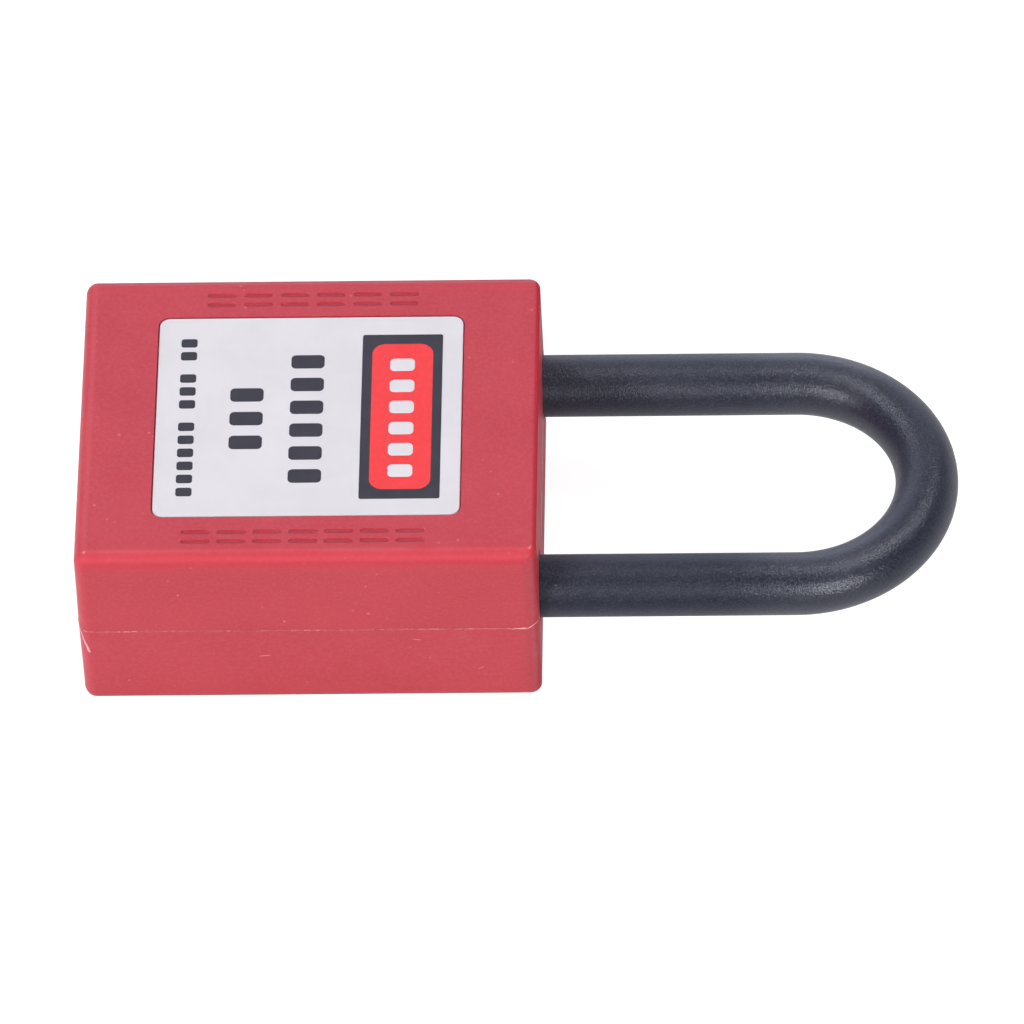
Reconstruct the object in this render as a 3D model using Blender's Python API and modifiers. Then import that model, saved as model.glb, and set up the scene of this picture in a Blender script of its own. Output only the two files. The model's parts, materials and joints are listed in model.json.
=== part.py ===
"""Safety padlock, long-body moulded type, modelled lying on its back.

Metres, +Z up. +X runs from the key end to the shackle, +Y runs from the toe leg
to the heel leg, +Z points out of the front label face. The origin is the centre of
the padlock's footprint on the plane it rests on, so the resting plane is Z = 0.
The pieces are laid out from the body's own centre, and the frame empty at the end
shifts them all so that the footprint is centred.
"""

import math

import bmesh
import bpy
from mathutils import Vector

# ---------------------------------------------------------------- dimensions
# Body: X is its length, Y its width, Z its thickness
BODY_LENGTH = 0.04805
BODY_WIDTH = 0.0388
BODY_THICKNESS = 0.0234
HALF_LENGTH = BODY_LENGTH / 2
HALF_WIDTH = BODY_WIDTH / 2
MID_Z = BODY_THICKNESS / 2    # parting plane, shackle plane and plug axis
PARTING_GAP = 0.0001          # between the two half bodies
FACE_EDGE_RADIUS = 0.0015     # long edges and key-end edge of both faces
TOP_EDGE_SHARE = 0.5          # the shackle-end edge is tighter
CORNER_SHARE = 0.87           # the four upright corners

# Labels and their recesses
LABEL_LENGTH = 0.0320
LABEL_WIDTH = 0.0272
LABEL_RADIUS = 0.0013
LABEL_THICKNESS = 0.00025
LABEL_GAP = 0.00005           # under the label, above the recess floor
RECESS_DEPTH = 0.00040
RECESS_MARGIN = 0.00022

# Shackle
SHACKLE_RADIUS = 0.00325      # 6.5 mm rod
SHACKLE_HALF_SPAN = 0.0137    # leg centre to body centreline
SHACKLE_INNER_Y = SHACKLE_HALF_SPAN - SHACKLE_RADIUS
BEND_CENTRE_X = 0.0509        # centre of the half-round bend
BEND_STEPS = 18
TOE_TIP_X = 0.0126
HEEL_TIP_X = -0.0100
LEG_BORE_RADIUS = 0.00345
TOE_BORE_GAP = 0.0004         # beyond the toe tip
TIP_CHAMFER = 0.0007

# Cuts in the shackle legs
NOTCH_LOW_X, NOTCH_HIGH_X = 0.0162, 0.0198
NOTCH_DEPTH = 0.0020
NECK_LOW_X, NECK_HIGH_X = -0.0074, 0.0079
NECK_DEPTH = 0.0018
GROOVE_HIGH_X = -0.0046       # round groove at the tip end of the neck flat
LEG_CUT_HALF_Z = 0.005
LEG_CUT_OVERLAP = 0.0005      # how far the cutters start inside the leg's inner side

# Shackle spring and the pin beside the heel leg
SPRING_SEAT_X = -0.0193
SPRING_END_GAP = 0.0002
SHACKLE_SPRING_TURNS = 8
SHACKLE_SPRING_RADIUS = 0.0024
SHACKLE_SPRING_WIRE = 0.0003
RETAINING_PIN_X, RETAINING_PIN_Y = 0.0058, 0.0111
RETAINING_PIN_RADIUS = 0.0009
RETAINING_PIN_LENGTH = 0.0110
RETAINING_PIN_BEVEL = 0.0002
RETAINING_HOLE_MARGIN = 0.00012
RETAINING_HOLE_HALF_Z = 0.0058

# Bolts
BOLT_LOW_X, BOLT_HIGH_X = 0.0166, 0.0194
BOLT_TRAVEL = 0.0020
BOLT_TIP_Y = 0.01005          # withdrawn tip, from the centreline
BOLT_NOSE_HALF_Z = 0.0022
BOLT_NOSE_START_Y = 0.0036
BOLT_STEP_Y = BOLT_NOSE_START_Y + 0.0012
BOLT_ARM_END_Y = 0.0028
BOLT_ARM_LOW_Z, BOLT_ARM_HIGH_Z = 0.0003, 0.0044
BOLT_SLOT_HALF_Y = 0.0014
BOLT_SLOT_TOP_Z = 0.0031

# Actuator
CRANK_RADIUS = BOLT_TRAVEL    # a quarter turn throws each bolt by this much
CRANK_PIN_RADIUS = 0.0008
CRANK_PIN_TOP_X = 0.0192
CRANK_PIN_ROOT = 0.0008       # depth of each crank pin inside the disc
DISC_RADIUS = 0.0046
DISC_CHAMFER = 0.0003
DISC_LOW_X, DISC_HIGH_X = 0.0138, 0.0162
TAIL_SHAFT_RADIUS = 0.0024
TAIL_SHAFT_LOW_X = 0.0063
TANG_LOW_X = 0.0039
TANG_HALF_Y, TANG_HALF_Z = 0.0032, 0.0010
TANG_ROOT = 0.0003            # overlap of the tang with the shaft

# Plug and its clip
PLUG_RADIUS = 0.00475
PLUG_HEAD_RADIUS = 0.0051
PLUG_FACE_X, PLUG_HEAD_BACK_X = -0.0235, -0.0216
PLUG_FACE_CHAMFER = 0.0003
PLUG_TAIL_X = 0.0060
PLUG_TAIL_CHAMFER = 0.0002
TAIL_SLOT_HALF_Y = 0.006
TAIL_SLOT_END_GAP = 0.0003
TAIL_SLOT_SIDE_GAP = 0.0002
CLIP_LOW_X, CLIP_HIGH_X = 0.0013, 0.0021
CLIP_INNER_RADIUS, CLIP_OUTER_RADIUS = 0.0040, 0.0058
CLIP_GROOVE_GAP = 0.0001
CLIP_MOUTH_HALF_Z = 0.0012
CLIP_MOUTH_END_Y = 0.008
KEYWAY_END_X = -0.0006

# Keyway section, as (y, z) from the plug axis
KEYWAY = (
    (-0.0030, -0.0005), (-0.0013, -0.0005), (-0.0009, -0.0010), (0.0009, -0.0010),
    (0.0013, -0.0004), (0.0038, -0.0004), (0.0038, 0.0010), (0.0022, 0.0010),
    (0.0018, 0.0005), (-0.0003, 0.0005), (-0.0007, 0.0010), (-0.0030, 0.0010),
)

# Cylinder housing, with its pin block towards -Y, and the chamber cover
HOUSING_LOW_X, HOUSING_HIGH_X = -0.0213, 0.0010
HOUSING_RADIUS = 0.0066
HOUSING_BORE_RADIUS = 0.0049
PIN_BLOCK_HALF_Z = 0.0033
PIN_BLOCK_OUTER_Y = 0.0153
PIN_BLOCK_INNER_Y = 0.0020
PIN_BLOCK_INSET = 0.0003      # short of the housing's high-X end
COVER_GROOVE_Y = 0.0145
COVER_HALF_Z = 0.0022
COVER_THICKNESS = 0.0006
COVER_SIDE_GAP = 0.0002
COVER_FLOOR_GAP = 0.0001
COVER_LOW_INSET, COVER_HIGH_INSET = 0.0004, 0.0007

# Pin stacks, lined up along X
PIN_FIRST_X = -0.0175
PIN_PITCH = 0.0035
PIN_RADIUS = 0.0013
PIN_CHAMFER = 0.0002
CHAMBER_RADIUS = 0.00145
HOUSING_CHAMBER_Y = (-0.0172, -0.0030)
PLUG_CHAMBER_Y = (-0.0060, 0.0006)
KEY_PIN_OUTER_Y = 0.0044
KEY_PIN_LENGTHS = (0.0034, 0.0039, 0.0030, 0.0036, 0.0040)
KEY_PIN_TIP_RADIUS = 0.00045
KEY_PIN_CONE = 0.0008
DRIVER_INNER_Y, DRIVER_LENGTH = 0.0050, 0.0032
DRIVER_SPRING_TURNS = 5
DRIVER_SPRING_RADIUS = 0.00095
DRIVER_SPRING_WIRE = 0.00014
DRIVER_SPRING_GAP = 0.0001

PIN_PLACES = [PIN_FIRST_X + i * PIN_PITCH for i in range(len(KEY_PIN_LENGTHS))]

# Cavities in the half bodies
HOUSING_CAVITY_RADIUS = 0.0069
HOUSING_CAVITY_LOW_X, HOUSING_CAVITY_HIGH_X = -0.0215, 0.0026
BLOCK_CAVITY_HIGH_X = 0.0013
BLOCK_CAVITY_OUTER_Y = 0.0156
BLOCK_CAVITY_HALF_Z = 0.0036
FACE_OPENING_RADIUS, FACE_OPENING_HIGH_X = 0.0054, -0.0212
SURROUND_RADIUS, SURROUND_DEPTH = 0.0067, 0.0004
TAIL_CAVITY_RADIUS = 0.0052
TAIL_CAVITY_LOW_X, TAIL_CAVITY_HIGH_X = 0.0024, 0.0072
TAIL_BEARING_RADIUS = 0.00265
TAIL_BEARING_LOW_X, TAIL_BEARING_HIGH_X = 0.0070, 0.0136
CAM_CHAMBER_LOW_X, CAM_CHAMBER_HIGH_X = 0.0134, 0.0197
CAM_CHAMBER_HALF_Y, CAM_CHAMBER_HALF_Z = 0.0072, 0.0050
CHANNEL_LOW_X, CHANNEL_HIGH_X = 0.0163, 0.01965
CHANNEL_HALF_Y = 0.0116       # the bolt channel opens into both leg bores
CHANNEL_HALF_Z = 0.0025

# Pegs on the back shell, as (x, y) places
PEG_PLACES = ((-0.0217, 0.0168), (-0.0217, -0.0173), (0.0075, -0.0135), (0.0100, 0.0066))
PEG_RADIUS, PEG_HEIGHT = 0.0011, 0.0022
PEG_ROOT = 0.001              # start below the parting plane
PEG_HOLE_MARGIN, PEG_HOLE_EXTRA_DEPTH = 0.0002, 0.0004

BODY_OVERCUT = 0.002          # cutters past the outside of the body
OVERCUT = 0.001               # cutters past the smaller pieces

# Linear RGB colours
RED = (0.58, 0.08, 0.10)
BLACK = (0.045, 0.048, 0.062)
WHITE = (0.78, 0.76, 0.80)
BRASS = (0.72, 0.52, 0.22)
STEEL = (0.55, 0.56, 0.58)

# Rotations that bring local +Z onto the named world direction
TURN = {"X": (0, math.pi / 2, 0), "Y": (-math.pi / 2, 0, 0), "Z": (0, 0, 0)}
TOWARDS_TOE = (math.pi / 2, 0, 0)               # local +Z to world -Y
ACROSS_BODY = (math.pi / 2, 0, math.pi / 2)     # local X, Y, Z to world Y, Z, X

# ---------------------------------------------------------------- scene setup
for old in list(bpy.data.objects):
    bpy.data.objects.remove(old, do_unlink=True)

parts = bpy.data.collections.new("safety_padlock")
cutters = bpy.data.collections.new("cutters")
bpy.context.scene.collection.children.link(parts)
bpy.context.scene.collection.children.link(cutters)


def material(name, colour, roughness, metallic=0.0):
    made = bpy.data.materials.new(name)
    made.use_nodes = True
    inputs = made.node_tree.nodes["Principled BSDF"].inputs
    inputs["Base Color"].default_value = (*colour, 1.0)
    inputs["Roughness"].default_value = roughness
    inputs["Metallic"].default_value = metallic
    made.diffuse_color = (*colour, 1.0)
    return made


def brass(piece, roughness):
    return material(f"{piece}_brass", BRASS, roughness, metallic=1.0)


def steel(piece, roughness, metallic=1.0):
    return material(f"{piece}_steel", STEEL, roughness, metallic)


def place(obj, collection):
    for current in list(obj.users_collection):
        current.objects.unlink(obj)
    collection.objects.link(obj)
    return obj


def as_part(obj, name, surface):
    obj.name = name
    obj.data.name = name
    obj.data.materials.clear()
    obj.data.materials.append(surface)
    return place(obj, parts)


def as_cutter(obj, name):
    obj.name = name
    obj.hide_render = True
    obj.display_type = "WIRE"
    return place(obj, cutters)


def empty(name, location):
    marker = bpy.data.objects.new(name, None)
    marker.empty_display_size = 0.004
    marker.location = location
    parts.objects.link(marker)
    return marker


def parent_to(obj, holder):
    """Parents the object without moving it in the world."""
    obj.location = Vector(obj.location) - Vector(holder.location)
    obj.parent = holder


# ---------------------------------------------------------------- shape helpers
def box(low, high):
    """Box between two corners, with its size in the mesh and unit scale."""
    low, high = Vector(low), Vector(high)
    bpy.ops.mesh.primitive_cube_add(size=1, location=(low + high) / 2)
    obj = bpy.context.object
    for vertex in obj.data.vertices:
        vertex.co = vertex.co * (high - low)[0] if False else Vector(
            [place_on_axis * size for place_on_axis, size in zip(vertex.co, high - low)]
        )
    return obj


def mid_box(low_x, high_x, low_y, high_y, half_z):
    """Box centred in height on the parting plane."""
    return box((low_x, low_y, MID_Z - half_z), (high_x, high_y, MID_Z + half_z))


def rod(axis, radius, start, end, sides):
    """Cylinder between two points along the named axis."""
    start, end = Vector(start), Vector(end)
    bpy.ops.mesh.primitive_cylinder_add(
        vertices=sides, radius=radius, depth=(end - start).length,
        location=(start + end) / 2, rotation=TURN[axis],
    )
    return bpy.context.object


def x_rod(radius, low_x, high_x, sides, y=0.0, z=MID_Z):
    return rod("X", radius, (low_x, y, z), (high_x, y, z), sides)


def y_rod(radius, x, y_range, sides):
    low_y, high_y = y_range
    return rod("Y", radius, (x, low_y, MID_Z), (x, high_y, MID_Z), sides)


def z_rod(radius, x, y, below, above, sides):
    """Upright cylinder reaching below and above the parting plane."""
    return rod("Z", radius, (x, y, MID_Z - below), (x, y, MID_Z + above), sides)


def turned(profile, origin, sides, rotation=TURN["X"]):
    """Solid of revolution: profile is (radius, height) down the outer side."""
    outline = [(0.0, profile[0][1]), *profile, (0.0, profile[-1][1])]
    mesh = bpy.data.meshes.new("profile")
    mesh.from_pydata(
        [(radius, 0.0, height) for radius, height in outline],
        [(i, i + 1) for i in range(len(outline) - 1)],
        [],
    )
    obj = bpy.data.objects.new("turned", mesh)
    bpy.context.scene.collection.objects.link(obj)
    obj.location = origin
    obj.rotation_euler = rotation
    screw = obj.modifiers.new("Screw", "SCREW")
    screw.axis = "Z"
    screw.angle = 2 * math.pi
    screw.steps = sides
    screw.render_steps = sides
    screw.use_merge_vertices = True
    screw.merge_threshold = 0.00001
    screw.use_smooth_shade = False
    return obj


def curve_to_mesh(curve, points, origin, rotation, closed=False, radii=None):
    """Runs the curve through the points and returns it as a welded mesh object."""
    spline = curve.splines.new("POLY")
    spline.points.add(len(points) - 1)
    for i, point in enumerate(spline.points):
        point.co = (*points[i], 1.0)
        if radii:
            point.radius = radii[i]
    spline.use_cyclic_u = closed
    curve_obj = bpy.data.objects.new("curve", curve)
    bpy.context.scene.collection.objects.link(curve_obj)
    curve_obj.location = origin
    curve_obj.rotation_euler = rotation

    bpy.context.view_layer.update()
    evaluated = curve_obj.evaluated_get(bpy.context.evaluated_depsgraph_get())
    mesh = bpy.data.meshes.new_from_object(evaluated)
    edit = bmesh.new()
    edit.from_mesh(mesh)
    bmesh.ops.remove_doubles(edit, verts=edit.verts, dist=0.000002)
    bmesh.ops.recalc_face_normals(edit, faces=edit.faces)
    edit.to_mesh(mesh)
    edit.free()
    obj = bpy.data.objects.new("mesh", mesh)
    obj.matrix_world = curve_obj.matrix_world
    bpy.context.scene.collection.objects.link(obj)
    bpy.data.objects.remove(curve_obj, do_unlink=True)
    return obj


def section_plate(outline, low_x, high_x):
    """Outline of (y, z) points about the plug axis, extruded along X."""
    curve = bpy.data.curves.new("outline", "CURVE")
    curve.dimensions = "2D"
    curve.fill_mode = "BOTH"
    curve.extrude = (high_x - low_x) / 2
    points = [(y, z, 0.0) for y, z in outline]
    origin = ((low_x + high_x) / 2, 0, MID_Z)
    return curve_to_mesh(curve, points, origin, ACROSS_BODY, closed=True)


def wire(points, radius, bevel_resolution, origin, rotation=TURN["Z"], radii=None):
    """Round wire along a poly line, with filled caps."""
    curve = bpy.data.curves.new("wire", "CURVE")
    curve.dimensions = "3D"
    curve.bevel_depth = radius
    curve.bevel_resolution = bevel_resolution
    curve.use_fill_caps = True
    return curve_to_mesh(curve, points, origin, rotation, radii=radii)


def helix(radius, length, turns, per_turn):
    """Points of a compression spring along +Z."""
    count = turns * per_turn
    points = []
    for i in range(count + 1):
        share = i / count
        angle = 2 * math.pi * turns * share
        points.append((radius * math.cos(angle), radius * math.sin(angle), length * share))
    return points


def smooth(obj, degrees=35):
    obj.data.shade_smooth()
    obj.data.set_sharp_from_angle(angle=math.radians(degrees))
    return obj


def weigh_edges(obj, rule):
    """Sets each edge's bevel weight from its direction and midpoint (local)."""
    edit = bmesh.new()
    edit.from_mesh(obj.data)
    layer = edit.edges.layers.float.new("bevel_weight_edge")
    for edge in edit.edges:
        start, end = (vertex.co for vertex in edge.verts)
        edge[layer] = rule(end - start, (start + end) / 2)
    edit.to_mesh(obj.data)
    edit.free()


def bevel(obj, width, segments, angle=None):
    """Bevels edges by weight, or those sharper than the angle in degrees."""
    modifier = obj.modifiers.new("Bevel", "BEVEL")
    modifier.width = width
    modifier.segments = segments
    if angle is None:
        modifier.limit_method = "WEIGHT"
    else:
        modifier.limit_method = "ANGLE"
        modifier.angle_limit = math.radians(angle)
    modifier.use_clamp_overlap = True


def round_upright_edges(obj, radius):
    weigh_edges(obj, lambda direction, middle: 1.0 if abs(direction.z) > 1e-6 else 0.0)
    bevel(obj, radius, segments=3)


def boolean(obj, tool, operation="DIFFERENCE"):
    modifier = obj.modifiers.new(f"{operation.title()}_{tool.name}", "BOOLEAN")
    modifier.operation = operation
    modifier.solver = "EXACT"
    modifier.object = tool


def subtract(obj, tool, name):
    boolean(obj, as_cutter(tool, name))


def join(obj, tool, name):
    boolean(obj, as_cutter(tool, name), "UNION")


# ---------------------------------------------------------------- half bodies
def body_cutters():
    """Cutters of the cavities shared by both half bodies, in cutting order."""
    key_side = -HALF_LENGTH - BODY_OVERCUT
    shackle_side = HALF_LENGTH + BODY_OVERCUT
    tools = {
        "cut_housing_round": x_rod(
            HOUSING_CAVITY_RADIUS, HOUSING_CAVITY_LOW_X, HOUSING_CAVITY_HIGH_X, 32),
        "cut_housing_block": mid_box(
            HOUSING_CAVITY_LOW_X, BLOCK_CAVITY_HIGH_X,
            -BLOCK_CAVITY_OUTER_Y, 0.0, BLOCK_CAVITY_HALF_Z),
        "cut_plug_face": x_rod(FACE_OPENING_RADIUS, key_side, FACE_OPENING_HIGH_X, 32),
        "cut_plug_surround": x_rod(
            SURROUND_RADIUS, key_side, -HALF_LENGTH + SURROUND_DEPTH, 32),
        "cut_plug_tail": x_rod(
            TAIL_CAVITY_RADIUS, TAIL_CAVITY_LOW_X, TAIL_CAVITY_HIGH_X, 32),
        "cut_tail_bearing": x_rod(
            TAIL_BEARING_RADIUS, TAIL_BEARING_LOW_X, TAIL_BEARING_HIGH_X, 24),
        "cut_cam_chamber": mid_box(
            CAM_CHAMBER_LOW_X, CAM_CHAMBER_HIGH_X,
            -CAM_CHAMBER_HALF_Y, CAM_CHAMBER_HALF_Y, CAM_CHAMBER_HALF_Z),
        "cut_bolt_channel": mid_box(
            CHANNEL_LOW_X, CHANNEL_HIGH_X, -CHANNEL_HALF_Y, CHANNEL_HALF_Y, CHANNEL_HALF_Z),
        "cut_heel_bore": x_rod(
            LEG_BORE_RADIUS, SPRING_SEAT_X, shackle_side, 28, y=SHACKLE_HALF_SPAN),
        "cut_toe_bore": x_rod(
            LEG_BORE_RADIUS, TOE_TIP_X - TOE_BORE_GAP, shackle_side, 28,
            y=-SHACKLE_HALF_SPAN),
        "cut_retaining_pin": z_rod(
            RETAINING_PIN_RADIUS + RETAINING_HOLE_MARGIN, RETAINING_PIN_X, RETAINING_PIN_Y,
            RETAINING_HOLE_HALF_Z, RETAINING_HOLE_HALF_Z, 16),
    }
    return [as_cutter(tool, name) for name, tool in tools.items()]


def shell(name, low_z, high_z, face_z, cavities):
    """Half body with its label recess in the outer face at face_z."""
    body = box((-HALF_LENGTH, -HALF_WIDTH, low_z), (HALF_LENGTH, HALF_WIDTH, high_z))
    face_local = face_z - (low_z + high_z) / 2

    def edge_share(direction, middle):
        if abs(direction.z) > 1e-6:
            return CORNER_SHARE
        if abs(middle.z - face_local) > 1e-6:
            return 0.0
        if middle.x > HALF_LENGTH - 1e-6:
            return TOP_EDGE_SHARE
        return 1.0

    weigh_edges(body, edge_share)
    bevel(body, FACE_EDGE_RADIUS, segments=3)
    for cavity in cavities:
        boolean(body, cavity)

    outward = 1 if face_z > MID_Z else -1
    half_x = LABEL_LENGTH / 2 + RECESS_MARGIN
    half_y = LABEL_WIDTH / 2 + RECESS_MARGIN
    recess_low, recess_high = sorted(
        (face_z - outward * RECESS_DEPTH, face_z + outward * BODY_OVERCUT))
    recess = box((-half_x, -half_y, recess_low), (half_x, half_y, recess_high))
    round_upright_edges(recess, LABEL_RADIUS + RECESS_MARGIN)
    subtract(body, recess, f"cut_recess_{name}")
    return as_part(body, name, material(f"{name}_red", RED, roughness=0.45))


def build_body():
    cavities = body_cutters()
    half_gap = PARTING_GAP / 2
    front = shell("front_shell", MID_Z + half_gap, BODY_THICKNESS, BODY_THICKNESS, cavities)
    back = shell("back_shell", 0.0, MID_Z - half_gap, 0.0, cavities)
    for number, (x, y) in enumerate(PEG_PLACES, 1):
        join(back, z_rod(PEG_RADIUS, x, y, PEG_ROOT, PEG_HEIGHT, 12), f"join_peg_{number}")
        hole = z_rod(
            PEG_RADIUS + PEG_HOLE_MARGIN, x, y,
            PEG_ROOT, PEG_HEIGHT + PEG_HOLE_EXTRA_DEPTH, 12)
        subtract(front, hole, f"cut_peg_{number}")


def label(name, low_z):
    film = box(
        (-LABEL_LENGTH / 2, -LABEL_WIDTH / 2, low_z),
        (LABEL_LENGTH / 2, LABEL_WIDTH / 2, low_z + LABEL_THICKNESS))
    round_upright_edges(film, LABEL_RADIUS)
    as_part(film, name, material(f"{name}_film", WHITE, roughness=0.40))


# ---------------------------------------------------------------- shackle
def shackle_path():
    """Rod centreline in the parting plane, from the heel tip to the toe tip."""
    path = [(x, SHACKLE_HALF_SPAN, MID_Z) for x in (HEEL_TIP_X, HEEL_TIP_X + TIP_CHAMFER)]
    for i in range(BEND_STEPS + 1):
        angle = math.pi / 2 - math.pi * i / BEND_STEPS
        path.append((
            BEND_CENTRE_X + SHACKLE_HALF_SPAN * math.cos(angle),
            SHACKLE_HALF_SPAN * math.sin(angle),
            MID_Z,
        ))
    path += [(x, -SHACKLE_HALF_SPAN, MID_Z) for x in (TOE_TIP_X + TIP_CHAMFER, TOE_TIP_X)]
    return path


def build_shackle():
    axis = empty("shackle_slide_axis", (0.0, SHACKLE_HALF_SPAN, MID_Z))
    path = [tuple(Vector(point) - Vector(axis.location)) for point in shackle_path()]
    tip_share = 1 - TIP_CHAMFER / SHACKLE_RADIUS
    radii = [tip_share] + [1.0] * (len(path) - 2) + [tip_share]
    shackle = wire(path, SHACKLE_RADIUS, 8, axis.location, radii=radii)
    nylon = material("shackle_black_nylon", BLACK, roughness=0.42)
    as_part(smooth(shackle), "shackle", nylon)

    start_y = SHACKLE_INNER_Y - LEG_CUT_OVERLAP
    for side, leg in ((1, "heel"), (-1, "toe")):
        low_y, high_y = sorted((side * start_y, side * (SHACKLE_INNER_Y + NOTCH_DEPTH)))
        notch = mid_box(NOTCH_LOW_X, NOTCH_HIGH_X, low_y, high_y, LEG_CUT_HALF_Z)
        subtract(shackle, notch, f"cut_{leg}_notch")
    flat = mid_box(
        NECK_LOW_X, NECK_HIGH_X, start_y, SHACKLE_INNER_Y + NECK_DEPTH, LEG_CUT_HALF_Z)
    subtract(shackle, flat, "cut_heel_flat")

    # ring-shaped cutter, which leaves a round core in the leg
    groove = x_rod(
        SHACKLE_RADIUS + OVERCUT, NECK_LOW_X, GROOVE_HIGH_X, 20, y=SHACKLE_HALF_SPAN)
    core = x_rod(
        SHACKLE_RADIUS - NECK_DEPTH, NECK_LOW_X - OVERCUT, GROOVE_HIGH_X + OVERCUT, 20,
        y=SHACKLE_HALF_SPAN)
    subtract(groove, core, "cut_heel_groove_core")
    subtract(shackle, groove, "cut_heel_groove")
    parent_to(shackle, axis)


def build_shackle_spring():
    """Spring under the heel leg, compressed by the closed shackle."""
    low_x = SPRING_SEAT_X + SHACKLE_SPRING_WIRE + SPRING_END_GAP
    high_x = HEEL_TIP_X - SHACKLE_SPRING_WIRE - SPRING_END_GAP
    spring = wire(
        helix(SHACKLE_SPRING_RADIUS, high_x - low_x, SHACKLE_SPRING_TURNS, per_turn=12),
        SHACKLE_SPRING_WIRE, 1, (low_x, SHACKLE_HALF_SPAN, MID_Z), TURN["X"])
    as_part(smooth(spring, 60), "shackle_spring", steel("shackle_spring", roughness=0.35))


def build_retaining_pin():
    half_length = RETAINING_PIN_LENGTH / 2
    pin = z_rod(
        RETAINING_PIN_RADIUS, RETAINING_PIN_X, RETAINING_PIN_Y, half_length, half_length, 16)
    bevel(pin, RETAINING_PIN_BEVEL, segments=1, angle=40)
    as_part(smooth(pin), "heel_retaining_pin", steel("heel_retaining_pin", roughness=0.3))


# ---------------------------------------------------------------- cylinder
def build_housing():
    low_x, high_x = HOUSING_LOW_X, HOUSING_HIGH_X
    housing = x_rod(HOUSING_RADIUS, low_x, high_x, 32)
    block = mid_box(
        low_x, high_x - PIN_BLOCK_INSET,
        -PIN_BLOCK_OUTER_Y, -PIN_BLOCK_INNER_Y, PIN_BLOCK_HALF_Z)
    join(housing, block, "join_pin_block")
    bore = x_rod(HOUSING_BORE_RADIUS, low_x - OVERCUT, high_x + OVERCUT, 32)
    subtract(housing, bore, "cut_plug_bore")
    groove = mid_box(
        low_x - OVERCUT, high_x + OVERCUT,
        -PIN_BLOCK_OUTER_Y - OVERCUT, -COVER_GROOVE_Y, COVER_HALF_Z + COVER_SIDE_GAP)
    subtract(housing, groove, "cut_cover_groove")
    for number, x in enumerate(PIN_PLACES, 1):
        chamber = y_rod(CHAMBER_RADIUS, x, HOUSING_CHAMBER_Y, 12)
        subtract(housing, chamber, f"cut_chamber_{number}")
    as_part(housing, "cylinder_housing", brass("cylinder_housing", roughness=0.35))


def build_chamber_cover():
    low_y = -COVER_GROOVE_Y - COVER_FLOOR_GAP - COVER_THICKNESS
    cover = mid_box(
        HOUSING_LOW_X + COVER_LOW_INSET, HOUSING_HIGH_X - COVER_HIGH_INSET,
        low_y, low_y + COVER_THICKNESS, COVER_HALF_Z)
    as_part(cover, "chamber_cover", brass("chamber_cover", roughness=0.3))


def build_plug(axis):
    groove_radius = CLIP_INNER_RADIUS - CLIP_GROOVE_GAP
    groove_low, groove_high = CLIP_LOW_X - CLIP_GROOVE_GAP, CLIP_HIGH_X + CLIP_GROOVE_GAP
    plug = turned(
        [
            (PLUG_RADIUS - PLUG_TAIL_CHAMFER, PLUG_TAIL_X),
            (PLUG_RADIUS, PLUG_TAIL_X - PLUG_TAIL_CHAMFER),
            (PLUG_RADIUS, groove_high),
            (groove_radius, groove_high),
            (groove_radius, groove_low),
            (PLUG_RADIUS, groove_low),
            (PLUG_RADIUS, PLUG_HEAD_BACK_X),
            (PLUG_HEAD_RADIUS, PLUG_HEAD_BACK_X),
            (PLUG_HEAD_RADIUS, PLUG_FACE_X + PLUG_FACE_CHAMFER),
            (PLUG_HEAD_RADIUS - PLUG_FACE_CHAMFER, PLUG_FACE_X),
        ],
        axis.location, 32,
    )
    keyway = section_plate(KEYWAY, PLUG_FACE_X - OVERCUT, KEYWAY_END_X)
    subtract(plug, keyway, "cut_keyway")
    slot = mid_box(
        TANG_LOW_X - TAIL_SLOT_END_GAP, PLUG_TAIL_X + OVERCUT,
        -TAIL_SLOT_HALF_Y, TAIL_SLOT_HALF_Y, TANG_HALF_Z + TAIL_SLOT_SIDE_GAP)
    subtract(plug, slot, "cut_tail_slot")
    for number, x in enumerate(PIN_PLACES, 1):
        chamber = y_rod(CHAMBER_RADIUS, x, PLUG_CHAMBER_Y, 12)
        subtract(plug, chamber, f"cut_plug_chamber_{number}")
    as_part(plug, "plug", brass("plug", roughness=0.28))
    parent_to(plug, axis)


def build_plug_clip(axis):
    clip = x_rod(CLIP_OUTER_RADIUS, CLIP_LOW_X, CLIP_HIGH_X, 28)
    low_x, high_x = CLIP_LOW_X - OVERCUT, CLIP_HIGH_X + OVERCUT
    subtract(clip, x_rod(CLIP_INNER_RADIUS, low_x, high_x, 28), "cut_clip_bore")
    mouth = mid_box(low_x, high_x, 0.0, CLIP_MOUTH_END_Y, CLIP_MOUTH_HALF_Z)
    subtract(clip, mouth, "cut_clip_mouth")
    as_part(clip, "plug_clip", steel("plug_clip_spring", roughness=0.35))
    parent_to(clip, axis)


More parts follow.
